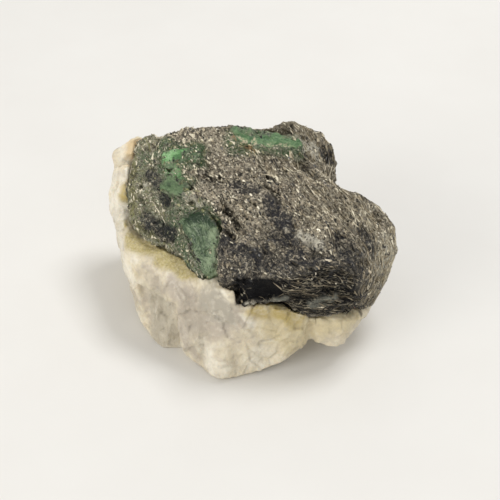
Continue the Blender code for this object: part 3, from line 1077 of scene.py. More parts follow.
    def fine_relief(self, skin: Skin, sides: dict[str, Numbers]) -> Numbers:
        """Raise the slab's grain and streaks, and sink its pits.

        Args:
            skin: The slab's skin.
            sides: The shares of its sides.

        Returns:
            A height for each point.
        """
        nearest, number, _ = cobbles(skin.places, self.cobble_size, Pattern.SLAB_COBBLES)
        granular = self.grain_height * broken_facets(skin.places, self.grain_size, Pattern.SLAB_GRAIN)
        granular = granular + self.cobble_height * (0.5 - nearest)
        granular = granular + self.cobble_unevenness * (number - 0.5)
        chips = self.chip_height * rough_noise(skin.places, self.chip_size, Pattern.SLAB_CHIPS)
        streaked = np.zeros(len(skin.places))
        for side in Lineation:
            lengthened = stretched(skin.places, side.way, 1.5 * side.spacing, side.length)
            streaked += sides[side.name.lower()] * rough_noise(lengthened, 1.0, Pattern.SLAB_STREAKS, 2)
        plain = 1.0 - np.clip(sides["front"] + sides["right_end"] + 0.6 * sides["shoulder"], 0.0, 1.0)
        calm = 1.0 - 0.92 * sides["block"]
        pits = covered(skin.places, self.pits, 0.3)
        holes = ramp(rough_noise(skin.places, 2.0, Pattern.SLAB_HOLES, 2), 0.38, 0.72)
        holes = holes * plain * (1.0 - skin.marks["stain"])
        lumps = covered(skin.places, self.lumps, 0.5)
        grain = calm * (granular * (0.25 + 0.75 * plain) + chips + self.streak_height * streaked)
        return grain + self.lump_height * lumps - self.pit_depth * pits - self.hole_depth * holes

    def mark(self, skin: Skin, sides: dict[str, Numbers], fine: Numbers) -> None:
        """Keep the shares that the material reads.

        Args:
            skin: The slab's skin.
            sides: The shares of its sides.
            fine: The heights of its grain and pits.
        """
        points = skin.places
        lens = self.lens.share(points)
        lip = self.ragged_lip(points)
        painted_glints = covered(points, self.painted_glints, 0.2)
        mica = np.maximum(self.dark_share(points), 0.7 * self.near_front(points, sides))
        gap = Solid("quartz_base").distance(points, 2.0)
        # Painted shade along the seam where the slab overhangs the quartz.
        seam_shade = ramp(gap + 0.4 * rough_noise(points, 1.5, Pattern.SEAM_EDGE), 1.1, 0.5)
        smooth = sides["front"] + 0.8 * sides["right_end"] + 0.5 * sides["shoulder"]
        skin.mark(
            black_mica=mica,
            # The feldspar mark also carries the painted glints.
            feldspar=np.maximum(covered(points, self.feldspar + self.lumps, 0.8), painted_glints),
            rust=covered(points, self.rust, 0.9),
            olive=covered(points, self.olive, 0.9),
            crust=covered(points, self.crusts, 0.7),
            bands=sides["front"] * (1.0 - sides["block"]),
            silvery=np.maximum(lens, lip * ramp(points[:, 0], 2.0, 7.0)) * (1.0 - painted_glints),
            # Painted shade: darkest in the deepest pits and along the seam.
            pit_and_seam_shade=0.9 * np.maximum(ramp(fine, -0.25, -0.85), 0.75 * seam_shade),
            granular=1.0 - np.clip(smooth, 0.0, 1.0),
            front=sides["front"] * (1.0 - 0.9 * np.max([lens, lip, painted_glints], axis=0)),
            **{name: sides[name] for name in ("knob", "shoulder", "right_end", "left_end")},
        )

    def ragged_lip(self, points: Numbers) -> Numbers:
        """How far each point is inside the lip under the block, which has a ragged edge."""
        return self.lip.share(points + 0.4 * rough_noise(points, 2.0, Pattern.LIP_EDGE)[:, None])

    def dark_share(self, points: Numbers) -> Numbers:
        """How far each point is inside the dark mica."""
        return np.minimum(1.4 * covered(points, self.black_mica, 1.1), 1.0)

    def near_front(self, points: Numbers, sides: dict[str, Numbers]) -> Numbers:
        """How near each point is to the broad front, where the rock darkens."""
        return ramp(points[:, 1], -8.0, -17.0) * (1.0 - sides["left_end"])

    def along(self, sides: dict[str, Numbers], count: int) -> Numbers:
        """The way that the streaks run at each point.

        Args:
            sides: The shares of its sides.
            count: How many points there are.

        Returns:
            One direction for each point, longer where the streaks are more regular.
        """
        ways = np.tile(0.35 * np.array(Lineation.SHOULDER.way), (count, 1))
        for side in Lineation:
            ways += 1.6 * sides[side.name.lower()][:, None] * np.array(side.way)
        return ways


# -------------------- Milky quartz --------------------


@dataclass(frozen=True)
class QuartzFinish:
    """Milky quartz and feldspar: cream, with grey clear zones and yellow stains along the schist."""

    white: Colour = (0.84, 0.79, 0.67)
    cream: Colour = (0.71, 0.63, 0.47)
    butter: Colour = (0.67, 0.57, 0.34)
    rose_grey: Colour = (0.475, 0.415, 0.345)
    clear_grey: Colour = (0.43, 0.395, 0.325)
    grey: Colour = (0.52, 0.47, 0.37)
    yellow: Colour = (0.46, 0.35, 0.11)
    khaki: Colour = (0.42, 0.345, 0.14)
    gold: Colour = (0.66, 0.58, 0.32)
    umber: Colour = (0.20, 0.16, 0.06)
    ochre: Colour = (0.66, 0.49, 0.26)
    dark: Colour = (0.07, 0.06, 0.035)
    softness: float = 0.2
    soft_reach: float = 1.4

    def material(self, workshop: Workshop) -> bpy.types.Material:
        """Build the material.

        Args:
            workshop: The shared groups.

        Returns:
            The material.
        """
        graph = Dressing("milky_quartz", workshop, {
            "Subsurface Weight": self.softness, "Subsurface Radius": (1.0, 0.8, 0.55),
            "Subsurface Scale": self.soft_reach * MM, "Specular IOR Level": 0.45,
        })
        cloud = graph.noise(graph.where, 6.0, 5.0, 0.62, 0.5)
        mottle = graph.noise(graph.where, 1.6, 6.0, 0.70)
        grain = graph.grain(0.55)
        graph.colour = graph.shades(cloud, [(0.32, self.rose_grey), (0.52, self.cream), (0.72, self.white)])
        graph.lay(self.butter, 0.75, "creamy")
        # Rosy quartz, and painted shade in the valley between the feet.
        graph.lay(self.rose_grey, 0.9, "rosy")
        graph.lay(self.clear_grey, 0.85, "grey_zone")
        # Painted shade: grey on the recessed face, which lies in shade.
        graph.lay(self.grey, 0.85, "recess")
        graph.lay(self.white, 0.9, "pale")
        graph.lay(self.white, 0.55, graph.spread(mottle, 0.50, 0.74))
        graph.lay(self.clear_grey, 0.5, graph.spread(mottle, 0.50, 0.28))
        sandy = graph.times("sandy", graph.spread(grain.outputs["Height"], 1.1, 0.4, 0.7, 1.0))
        sand = graph.noise(graph.where, 0.5, 3.0, 0.7)
        graph.lay(self.khaki, 0.95, sandy)
        graph.lay(self.gold, 0.6, sandy, graph.spread(sand, 0.48, 0.66))
        graph.lay(self.umber, 0.35, sandy, graph.spread(sand, 0.46, 0.32))
        graph.lay(self.yellow, 0.9, "yellowed", graph.spread(mottle, 0.30, 0.60, 0.2, 1.0))
        graph.lay(self.ochre, 0.8, "ochre_lump")
        fibres = graph.streaks((0.0, 0.15, 1.0), 0.5, 7.0)
        lines = graph.times(fibres.outputs["Fine"], "fibrous")
        graph.lay(self.grey, 0.35, lines)
        bent = self.bent(graph)
        seams = graph.node("TexVoronoi", {"Vector": bent, "Scale": 0.17}, feature="DISTANCE_TO_EDGE")
        graph.lay(self.grey, 0.18, graph.spread(seams.outputs["Distance"], 0.014, 0.0))
        graph.lay(self.grey, 0.9, "cracked")
        graph.lay(self.dark, 0.8, "shadowed")
        graph.wear("Base Color", graph.colour)
        graph.wear("Roughness", graph.spread(mottle, 0.3, 0.7, 0.36, 0.58))
        height = graph.plus(graph.times(mottle, 1.2), graph.times(lines, 0.7))
        height = graph.plus(height, graph.times(grain.outputs["Height"], 0.2))
        graph.wear("Normal", graph.bump(height, 0.16, 0.7))
        return graph.material

    def bent(self, graph: Dressing) -> Socket:
        """Bend the place so that seams in it wander.

        Args:
            graph: The material under construction.

        Returns:
            The bent place.
        """
        wobble = graph.node("TexNoise", {"Vector": graph.where, "Scale": 0.25, "Detail": 3.0})
        push = graph.scaled(wobble.outputs["Color"], 4.0)
        return graph.vector("ADD", graph.where, push)


@dataclass
class QuartzBase:
    """The quartz, with its fractures, fibres, recess, bright ridge and stains."""

    cell: float = 0.28
    wear: int = 6
    contact: float = 0.2
    sole_margin: float = 1.2
    undercut: float = 0.022
    undercut_height: float = 1.0
    facet_size: float = 7.0
    facet_height: float = 0.50
    chip_size: float = 2.8
    chip_height: float = 0.32
    fibre_way: Place = (0.0, 0.15, 1.0)
    fibre_spacing: float = 0.9
    fibre_length: float = 9.0
    fibre_height: float = 0.16
    grain_size: float = 0.9
    grain_height: float = 0.22
    roughness: float = 0.10
    crack_depth: float = 0.25
    recess_depth: float = 0.7
    ridge_height: float = 0.35
    recess: Patch = Patch((-19.6, -10.6, 11.0), (-18.4, -13.6, 3.0), 4.6)
    ridge: Patch = Patch((0.6, -21.0, 17.4), (-0.6, -21.6, 13.4), 1.3)
    fibres: tuple[Patch, ...] = (
        Patch((-13.0, -18.4, 16.0), (-12.0, -20.0, 4.0), 4.0),
        Patch((-20.0, -10.6, 14.0), (-20.0, -13.0, 2.0), 5.0),
        Patch((-29.0, 6.0, 18.0), (-26.0, -3.0, 6.0), 5.0),
    )
    yellowed: tuple[Patch, ...] = (
        Patch((2.6, -20.9, 18.0), (8.0, -20.4, 17.2), 3.4),
        Patch((7.0, -20.4, 17.4), (9.6, -19.8, 14.0), 3.2),
        Patch((12.6, -19.6, 15.0), (20.0, -18.6, 14.0), 2.0),
        Patch((-26.8, 10.6, 27.4), (-27.4, 7.0, 25.6), 2.0),
    )
    creamy: tuple[Patch, ...] = (
        Patch((6.0, -20.4, 13.0), (11.0, -19.6, 8.0), 5.0),
        Patch((14.0, -19.0, 12.0), (22.0, -17.0, 12.0), 5.0),
        Patch((-26.0, 4.0, 20.0), (-22.0, -6.0, 16.0), 3.0),
    )
    sandy: tuple[Patch, ...] = (
        Patch((-25.6, -2.6, 21.6), (-19.0, -5.6, 21.6), 2.6),
        Patch((-18.0, -6.0, 21.4), (-11.0, -12.4, 20.8), 2.4),
        Patch((-18.6, -8.0, 20.6), (-13.4, -12.0, 20.4), 1.9),
        Patch((-27.6, 8.0, 25.0), (-27.4, 1.0, 22.4), 1.4),
    )
    ochre_lump: tuple[Patch, ...] = (
        Patch((-25.6, 18.4, 31.4), (-26.8, 15.6, 30.2), 2.3),
    )
    shadowed: tuple[Patch, ...] = (
        Patch((12.8, -19.4, 14.6), (19.0, -18.2, 14.4), 0.8),
        Patch((24.0, -13.8, 11.6), (23.6, -13.8, 9.4), 0.7),
        Patch((9.6, -19.8, 16.2), (12.2, -19.6, 15.0), 0.6),
    )
    rosy: tuple[Patch, ...] = (
        Patch((-9.0, -19.2, 17.4), (-2.0, -21.2, 16.4), 3.8),
        Patch((-12.0, -19.0, 12.6), (-7.0, -21.0, 13.0), 4.0),
        Patch((-16.0, -13.6, 18.4), (-12.6, -17.0, 16.0), 2.6),
        # Painted shade: the valley between the two feet.
        Patch((-15.6, -16.2, 10.0), (-13.0, -18.6, 4.0), 2.8),
    )
    grey_zone: tuple[Patch, ...] = (
        Patch((-8.4, -18.6, 18.6), (-5.6, -20.4, 16.0), 3.6),
        Patch((-4.4, -21.0, 18.0), (-3.6, -21.4, 15.6), 2.0),
    )
    pale: tuple[Patch, ...] = (
        Patch((-0.2, -21.0, 16.6), (0.4, -21.6, 13.2), 1.2),
        Patch((-10.0, -22.0, 7.0), (-7.0, -22.6, 3.0), 3.0),
        Patch((-6.4, -19.6, 21.6), (-3.6, -20.4, 20.6), 1.2),
        Patch((-26.6, 13.6, 29.0), (-26.0, 10.6, 28.0), 1.6),
        Patch((-26.0, -1.0, 20.0), (-22.6, -6.0, 15.0), 1.6),
        Patch((-29.4, 12.0, 24.0), (-27.0, -2.0, 13.0), 4.6),
        Patch((-27.0, 19.0, 29.6), (-27.4, 17.0, 28.0), 2.4),
    )
    cracks: tuple[Patch, ...] = (
        Patch((-12.4, -17.6, 16.6), (-9.6, -18.8, 17.4), 0.28),
        Patch((-11.8, -18.2, 15.4), (-8.2, -19.4, 14.4), 0.28),
        Patch((-9.6, -18.8, 17.4), (-8.6, -19.2, 15.2), 0.25),
        Patch((-9.0, -19.6, 13.0), (-6.4, -20.4, 12.6), 0.3),
        Patch((2.6, -21.2, 9.0), (6.6, -20.8, 10.0), 0.3),
        Patch((-15.4, -16.6, 11.0), (-14.6, -17.2, 7.0), 0.3),
    )
    closed: tuple[Patch, ...] = (Patch((12.0, -19.0, 15.0), (12.0, -18.6, 6.0), 4.5),)

    def build(self, workshop: Workshop) -> Skin:
        """Build the base.

        Args:
            workshop: The shared groups.

        Returns:
            Its skin.
        """
        skin = Skin("quartz_matrix", {"quartz_base": 0.0}, self.cell, self.wear, self.closed)
        near = ramp(Solid("mica_schist").distance(skin.places, 1.0), 0.8, 0.4)
        skin.move(self.contact * near)
        above = ramp(skin.places[:, 2], 0.1, self.sole_margin)
        ledge = ramp(skin.normals[:, 2], 0.55, 0.85) * ramp(skin.places[:, 0], -8.0, -11.0)
        fibrous = covered(skin.places, self.fibres, 1.2)
        skin.move(above * self.relief(skin, ledge, fibrous))
        skin.places[:, 2] = np.maximum(skin.places[:, 2], 0.0)
        pinch = self.undercut * ramp(skin.places[:, 2], self.undercut_height, 0.0)
        skin.places[:, :2] *= 1.0 - pinch[:, None]
        skin.move(np.zeros(len(skin.places)))
        self.mark(skin, fibrous)
        skin.finish(QuartzFinish().material(workshop), "quartz", ["quartz_base"])
        return skin

    def relief(self, skin: Skin, ledge: Numbers, fibrous: Numbers) -> Numbers:
        """Raise the base's facets, fibres, grain and ridge, and sink its recess.

        Args:
            skin: The base's skin.
            ledge: How far each point is on the ledge.
            fibrous: How far each point is where the quartz is fibrous.

        Returns:
            A height for each point.
        """
        broad = self.facet_height * broken_facets(skin.places, self.facet_size, Pattern.QUARTZ_FACETS)
        chips = broken_facets(skin.places, self.chip_size, Pattern.QUARTZ_CHIPS)
        broad = broad + self.chip_height * chips
        upright = stretched(skin.places, self.fibre_way, self.fibre_spacing, self.fibre_length)
        fibres = self.fibre_height * rough_noise(upright, 1.0, Pattern.QUARTZ_FIBRES, 2)
        grain = self.grain_height * broken_facets(skin.places, self.grain_size, Pattern.QUARTZ_GRAIN)
        rough = self.roughness * rough_noise(skin.places, 1.6, Pattern.QUARTZ_ROUGHNESS)
        rough = rough - self.crack_depth * covered(skin.places, self.cracks, 0.5)
        steep = 1.0 - ledge
        recess = self.recess.share(skin.places) * ramp(-skin.normals[:, 1], 0.3, 0.7)
        ridge = self.ridge.share(skin.places)
        surface = steep * (broad + fibrous * fibres) + ledge * grain + rough
        return surface - self.recess_depth * recess + self.ridge_height * ridge

    def mark(self, skin: Skin, fibrous: Numbers) -> None:
        """Keep the shares that the material reads.

        Args:
            skin: The base's skin.
            fibrous: How far each point is where the quartz is fibrous.
        """
        patches = {
            "recess": ([self.recess], 1.0), "rosy": (self.rosy, 1.6), "grey_zone": (self.grey_zone, 1.6),
            "yellowed": (self.yellowed, 1.4), "sandy": (self.sandy, 1.0),
            "ochre_lump": (self.ochre_lump, 0.8),
            "shadowed": (self.shadowed, 0.8), "pale": (self.pale, 1.4), "creamy": (self.creamy, 1.6),
            "cracked": (self.cracks, 0.5),
        }
        skin.mark(fibrous=fibrous)
        for name, (places, ragged) in patches.items():
            skin.mark(**{name: covered(skin.places, places, ragged)})


# -------------------- Emeralds --------------------


@dataclass(frozen=True)
class EmeraldFinish:
    """Cloudy green beryl, with streaks along the crystal and a dull skin where the schist clings to it."""

    name: str
    deep: Colour
    body: Colour
    milky: Colour
    pale: Colour = (0.40, 0.46, 0.34)
    veil: Colour = (0.085, 0.105, 0.062)
    specks: Colour = (0.36, 0.36, 0.26)
    vein: Colour = (0.56, 0.49, 0.33)
    softness: float = 0.12
    soft_reach: float = 0.9

    def material(self, workshop: Workshop, axis: Place) -> bpy.types.Material:
        """Build the material.

        Args:
            workshop: The shared groups.
            axis: The way that the crystal lies.

        Returns:
            The material.
        """
        graph = Dressing(self.name, workshop, {
            "Subsurface Weight": self.softness, "Subsurface Radius": (0.5, 1.0, 0.7),
            "Subsurface Scale": self.soft_reach * MM, "IOR": 1.58, "Specular IOR Level": 0.3,
        })
        streaks = graph.streaks(axis, 0.36, 8.0)
        cloud = graph.noise(graph.where, 1.8, 6.0, 0.7, 0.5)
        clouds = graph.spread(cloud, 0.25, 0.75, 0.05, 0.85)
        tone = graph.plus(graph.times(streaks.outputs["Mask"], 0.30), clouds)
        tone = graph.plus(tone, graph.times("milky", 0.32))
        # Painted shade: the tone darkens where the crystal's top lies in a hollow.
        tone = graph.plus(tone, graph.times("shade", -0.42))
        graph.colour = graph.shades(tone, [(0.30, self.deep), (0.60, self.body), (0.95, self.milky)])
        hairs = graph.spread(streaks.outputs["Fine"], 0.3, 1.0)
        graph.lay(self.milky, 0.8, hairs, graph.spread(tone, 0.40, 0.9))
        graph.lay(self.pale, 0.5, streaks.outputs["Wisp"], "wispy")
        fine = graph.grain(0.35)
        torn = graph.plus(graph.mark("veil"), graph.spread(cloud, 0.3, 0.7, 0.35, -0.35))
        torn = graph.spread(torn, 0.35, 0.75)
        graph.lay(self.veil, 0.8, torn)
        graph.lay(self.specks, 0.7, torn, graph.spread(graph.noise(graph.where, 0.5, 3.0, 0.7), 0.52, 0.62))
        graph.lay(self.deep, 0.5, fine.outputs["Dark"])
        graph.lay(self.vein, 0.85, "vein", graph.spread(graph.noise(graph.where, 0.55, 3.0, 0.7), 0.46, 0.56))
        graph.wear("Base Color", graph.colour)
        graph.wear("Roughness", graph.spread(cloud, 0.3, 0.7, 0.30, 0.50))
        height = graph.plus(streaks.outputs["Mask"], graph.times(fine.outputs["Height"], 0.4))
        graph.wear("Normal", graph.bump(height, 0.12, 0.6))
        return graph.material


@dataclass
class Emerald:
    """One crystal, with lengthwise striations, chips and a ragged line where it meets the schist."""

    node: str
    finish: EmeraldFinish
    facing: Place
    milky: tuple[Patch, ...] = ()
    wispy: tuple[Patch, ...] = ()
    swell: tuple[Patch, ...] = ()
    shade: tuple[Patch, ...] = ()
    veil: tuple[Patch, ...] = ()
    vein: tuple[Patch, ...] = ()
    cell: float = 0.2
    wear: int = 2
    bite: float = 0.45
    swell_height: float = 0.7
    groove_spacing: float = 0.55
    groove_length: float = 5.0
    groove_depth: float = 0.18
    chip_size: float = 2.6
    chip_depth: float = 0.55
    frosting: float = 0.07

    def build(self, workshop: Workshop) -> Skin:
        """Build the crystal.

        Args:
            workshop: The shared groups.

        Returns:
            Its skin.
        """
        skin = Skin(self.node + "_crystal", {self.node: 0.0}, self.cell, self.wear)
        axis = self.axis()
        outward = skin.normals @ np.array(Vector(self.facing).normalized())
        flank = ramp(outward, 0.8, 0.5)
        swell = self.swell_height * covered(skin.places, self.swell)
        bite = self.bite + 0.25 * rough_noise(skin.places, 1.8, Pattern.CRYSTAL_BITE)
        skin.move(flank * bite + swell)
        lengthened = stretched(skin.places, axis, self.groove_spacing, self.groove_length)
        grooves = rough_noise(lengthened, 1.0, Pattern.CRYSTAL_GROOVES, 2)
        chips = np.minimum(0.0, broken_facets(skin.places, self.chip_size, Pattern.CRYSTAL_CHIPS) + 0.1)
        fine = self.frosting * rough_noise(skin.places, 0.9, Pattern.CRYSTAL_FROSTING)
        skin.mark(shade=covered(skin.places, self.shade))
        skin.move(self.groove_depth * grooves + self.chip_depth * chips + fine)
        edge = Solid("mica_schist").distance(skin.places, 2.0)
        edge = edge + 0.5 * rough_noise(skin.places, 1.5, Pattern.CRYSTAL_EDGE)
        skin.mark(
            milky=covered(skin.places, self.milky),
            wispy=covered(skin.places, self.wispy),
            veil=np.maximum(covered(skin.places, self.veil), ramp(edge, 1.7, 0.1)),
            vein=covered(skin.places, self.vein, 1.2),
        )
        skin.finish(self.finish.material(workshop, axis), "emerald", [self.node])
        return skin

    def axis(self) -> Place:
        """The way that the crystal is longest, read from its solid."""
        places = np.array([vertex.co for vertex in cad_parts[self.node].data.vertices])
        return tuple(np.linalg.svd(places - places.mean(axis=0))[2][0])


# -------------------- Flakes and grains --------------------


Faces = list[tuple[int, ...]]
Shape = Callable[[], tuple[Numbers, Faces]]


@dataclass(frozen=True)
class FlakeFinish:
    """Mica: thin glossy flakes or fibres, from black through bronze to silver."""

    name: str = "mica_flakes"
    stops: tuple[tuple[float, Colour], ...] = (
        (0.00, (0.006, 0.006, 0.007)),
        (0.32, (0.050, 0.043, 0.032)),
        (0.54, (0.230, 0.192, 0.132)),
        (0.78, (0.450, 0.380, 0.262)),
        (1.00, (0.740, 0.680, 0.520)),
    )
    green: Colour = (0.70, 0.86, 0.55)

    def material(self, workshop: Workshop) -> bpy.types.Material:
        """Build the material.

        Args:
            workshop: The shared groups.

        Returns:
            The material.
        """
        graph = Dressing(self.name, workshop, {"Metallic": 0.1, "Specular IOR Level": 0.6})
        cloud = graph.noise(graph.where, 0.5, 2.0)
        tone = graph.plus(graph.mark("tone"), graph.spread(cloud, 0.3, 0.7, -0.08, 0.08))
        green = graph.times("green", graph.spread(tone, 0.95, 0.7))
        colour = graph.mix(green, graph.shades(tone, self.stops), (*self.green, 1.0), "MULTIPLY")
        graph.wear("Base Color", colour)
        graph.wear("Roughness", graph.spread(cloud, 0.3, 0.7, 0.32, 0.5))
        return graph.material


@dataclass(frozen=True)
class GrainFinish:
    """Feldspar and quartz grains: cream to tan, some nearly white."""

    stops: tuple[tuple[float, Colour], ...] = (
        (0.00, (0.090, 0.078, 0.055)),
        (0.50, (0.230, 0.205, 0.150)),
        (0.85, (0.420, 0.375, 0.280)),
        (1.00, (0.700, 0.650, 0.540)),
    )

    def material(self, workshop: Workshop) -> bpy.types.Material:
        """Build the material.

        Args:
            workshop: The shared groups.

        Returns:
            The material.
        """
        graph = Dressing("feldspar_grains", workshop, {"Specular IOR Level": 0.5})
        cloud = graph.noise(graph.where, 0.6, 3.0)
        tone = graph.plus(graph.mark("tone"), graph.spread(cloud, 0.3, 0.7, -0.12, 0.12))
        graph.wear("Base Color", graph.shades(tone, self.stops))
        graph.wear("Roughness", graph.spread(cloud, 0.3, 0.7, 0.35, 0.6))
        graph.wear("Normal", graph.bump(cloud, 0.08, 0.5))
        return graph.material


@dataclass
class Ground:
    """Points on the rocks that pieces can be set into.

    The pieces lie along one way at each point, more in line where it is longer. Their tone runs from 0 to 1,
    and green says how much of the rock's green they share. The tree is for the pieces that cling to the rock.
    """

    places: Numbers
    normals: Numbers
    along: Numbers
    tone: Numbers
    green: Numbers
    tree: BVHTree | None = None


@dataclass(frozen=True)
class Scatter:
    """Many small pieces of one kind, set into a skin and joined in one mesh.

    The slimness and the thickness are shares of a piece's length, and so is the depth that it is sunk by. The
    lean and the turn say how far a piece tips and swings at random, and the variety how much its tone varies.
    """

    name: str
    shape: Shape
    count: int
    length: tuple[float, float]
    slimness: float
    thickness: float
    lean: float
    depth: float
    variety: float
    seed: int
    clings: bool = False
    turn: float = 0.35
    roughness: float = 0.2

    def build(self, ground: Ground, density: Numbers, material: bpy.types.Material) -> bpy.types.Object:
        """Scatter the pieces over a rock.

        Args:
            ground: What they are set into.
            density: How likely a piece is at each of the ground's points.
            material: What they are dressed in.

        Returns:
            The joined piece.
        """
        rng = np.random.default_rng(self.seed)
        chosen = rng.choice(len(density), self.count, replace=False, p=density / density.sum())
        outward = ground.normals[chosen] + self.lean * rng.normal(size=(self.count, 3))
        outward /= np.linalg.norm(outward, axis=1, keepdims=True)
        way = ground.along[chosen] * rng.choice([-1.0, 1.0], size=(self.count, 1))
        second = np.cross(outward, way + self.turn * rng.normal(size=(self.count, 3)))
        second /= np.linalg.norm(second, axis=1, keepdims=True)
        first = np.cross(second, outward)
        low, high = self.length
        long = low + (high - low) * rng.random(self.count) ** 2.0
        wide = long * self.slimness * (0.6 + 0.8 * rng.random(self.count))
        thick = long * self.thickness
        corners, faces = self.shape()
        uneven = corners[None] * (1.0 + self.roughness * rng.normal(size=(self.count, len(corners), 1)))
        centre = ground.places[chosen] - outward * (self.depth * long)[:, None]
        places = centre[:, None, :] + sum(
            (uneven[..., axis] * size[:, None] / 2.0)[..., None] * edge[:, None, :]
            for axis, (size, edge) in enumerate(((long, first), (wide, second), (thick, outward)))
        )
        if self.clings:
            over = corners[:, 2] * (thick / 2.0)[:, None] - (self.depth * long)[:, None]
            places = self.laid_down(places, over, ground.tree)
        marks = {
            "tone": np.clip(ground.tone[chosen] + self.variety * rng.normal(size=self.count), 0.0, 1.0),
            "green": ground.green[chosen],
        }
        return self.join(places, faces, marks, material)

    def laid_down(self, places: Numbers, over: Numbers, tree: BVHTree) -> Numbers:
        """Lay the corners of the pieces along a rough surface.

        Args:
            places: Each piece's corners.
            over: How far over the surface each corner belongs.
            tree: The surface.

        Returns:
            The corners, laid down.
        """
        laid = []
        for place, height in zip(places.reshape(-1, 3), over.ravel()):
            nearest, normal, _, _ = tree.find_nearest(Vector(place * MM))
            laid.append(nearest / MM + normal * height)
        return np.array(laid).reshape(places.shape)

    def join(self, places: Numbers, faces: Faces, marks: dict[str, Numbers],
             material: bpy.types.Material) -> bpy.types.Object:
        """Join the pieces in one mesh.

        Args:
            places: Each piece's corners.
            faces: The faces of one piece.
            marks: The numbers that the material reads, one for each piece.
            material: What they are dressed in.

        Returns:
            The joined piece.
        """
        count, corners, _ = places.shape
        mesh = bpy.data.meshes.new(self.name)
        all_faces = [
            tuple(corners * piece + corner for corner in one_face)
            for piece in range(count) for one_face in faces
        ]
        mesh.from_pydata((places.reshape(-1, 3) * MM).tolist(), [], all_faces)
        keep_marks(mesh, {name: np.repeat(values, corners) for name, values in marks.items()})
        mesh.materials.append(material)
        return place_piece(new_object(self.name, mesh), "schist")


def flake_shape() -> tuple[Numbers, Faces]:
    """Shape a thin plate with a pointed end.

    Returns:
        Its corners, from -1 to 1 each way, and its faces.
    """
    ring = [(1.0, 0.1), (0.1, 1.0), (-1.0, 0.5), (-0.6, -0.9), (0.5, -0.8)]
    sides = len(ring)
    corners = np.array([(x, y, z) for z in (-1.0, 1.0) for x, y in ring])
    walls = [(side, (side + 1) % sides, (side + 1) % sides + sides, side + sides) for side in range(sides)]
    return corners, [tuple(reversed(range(sides))), tuple(range(sides, 2 * sides)), *walls]


def fibre_shape() -> tuple[Numbers, Faces]:
    """Shape a slender curved fibre with three long sides.

    Returns:
        Its corners, from -1 to 1 along it, and its faces.
    """
    stations = np.linspace(-1.0, 1.0, 4)
    section = [(-1.0, -1.0), (1.0, -1.0), (0.0, 1.0)]
    corners = np.array([
        (x, 3.0 * (x * x - 0.5) + across * (1.0 - 0.8 * x * x), up)
        for x in stations for across, up in section
    ])
    walls = [
        (3 * step + side, 3 * step + (side + 1) % 3, 3 * step + 3 + (side + 1) % 3, 3 * step + 3 + side)
        for step in range(len(stations) - 1) for side in range(3)
    ]
    last = 3 * (len(stations) - 1)
    return corners, [(2, 1, 0), (last, last + 1, last + 2), *walls]


def grain_shape() -> tuple[Numbers, Faces]:
    """Shape a lump with flat sides.

    Returns:
        Its corners, from -1 to 1 each way, and its faces.
    """
    shape = bmesh.new()
    bmesh.ops.create_icosphere(shape, subdivisions=1, radius=1.0)
    corners = np.array([vertex.co for vertex in shape.verts])
    faces = [tuple(vertex.index for vertex in face.verts) for face in shape.faces]
    shape.free()
    return corners, faces


# -------------------- Studio --------------------


@dataclass(frozen=True)
class Light:
    """One square light. Its place and its side are in metres, its power in watts."""

    name: str
    place: Place
    side: float
    power: float
    colour: Colour
    target: Place = (0.0, 0.0, 0.015)

    def hang(self) -> None:
        """Hang the light so that it faces the specimen."""
        lamp = bpy.data.lights.new(self.name, "AREA")
        lamp.size = self.side
        lamp.energy = self.power
        lamp.color = self.colour
        item = bpy.data.objects.new(self.name, lamp)
        item.location = self.place
        item.rotation_euler = (Vector(self.target) - Vector(self.place)).to_track_quat("-Z", "Y").to_euler()
        bpy.context.scene.collection.objects.link(item)


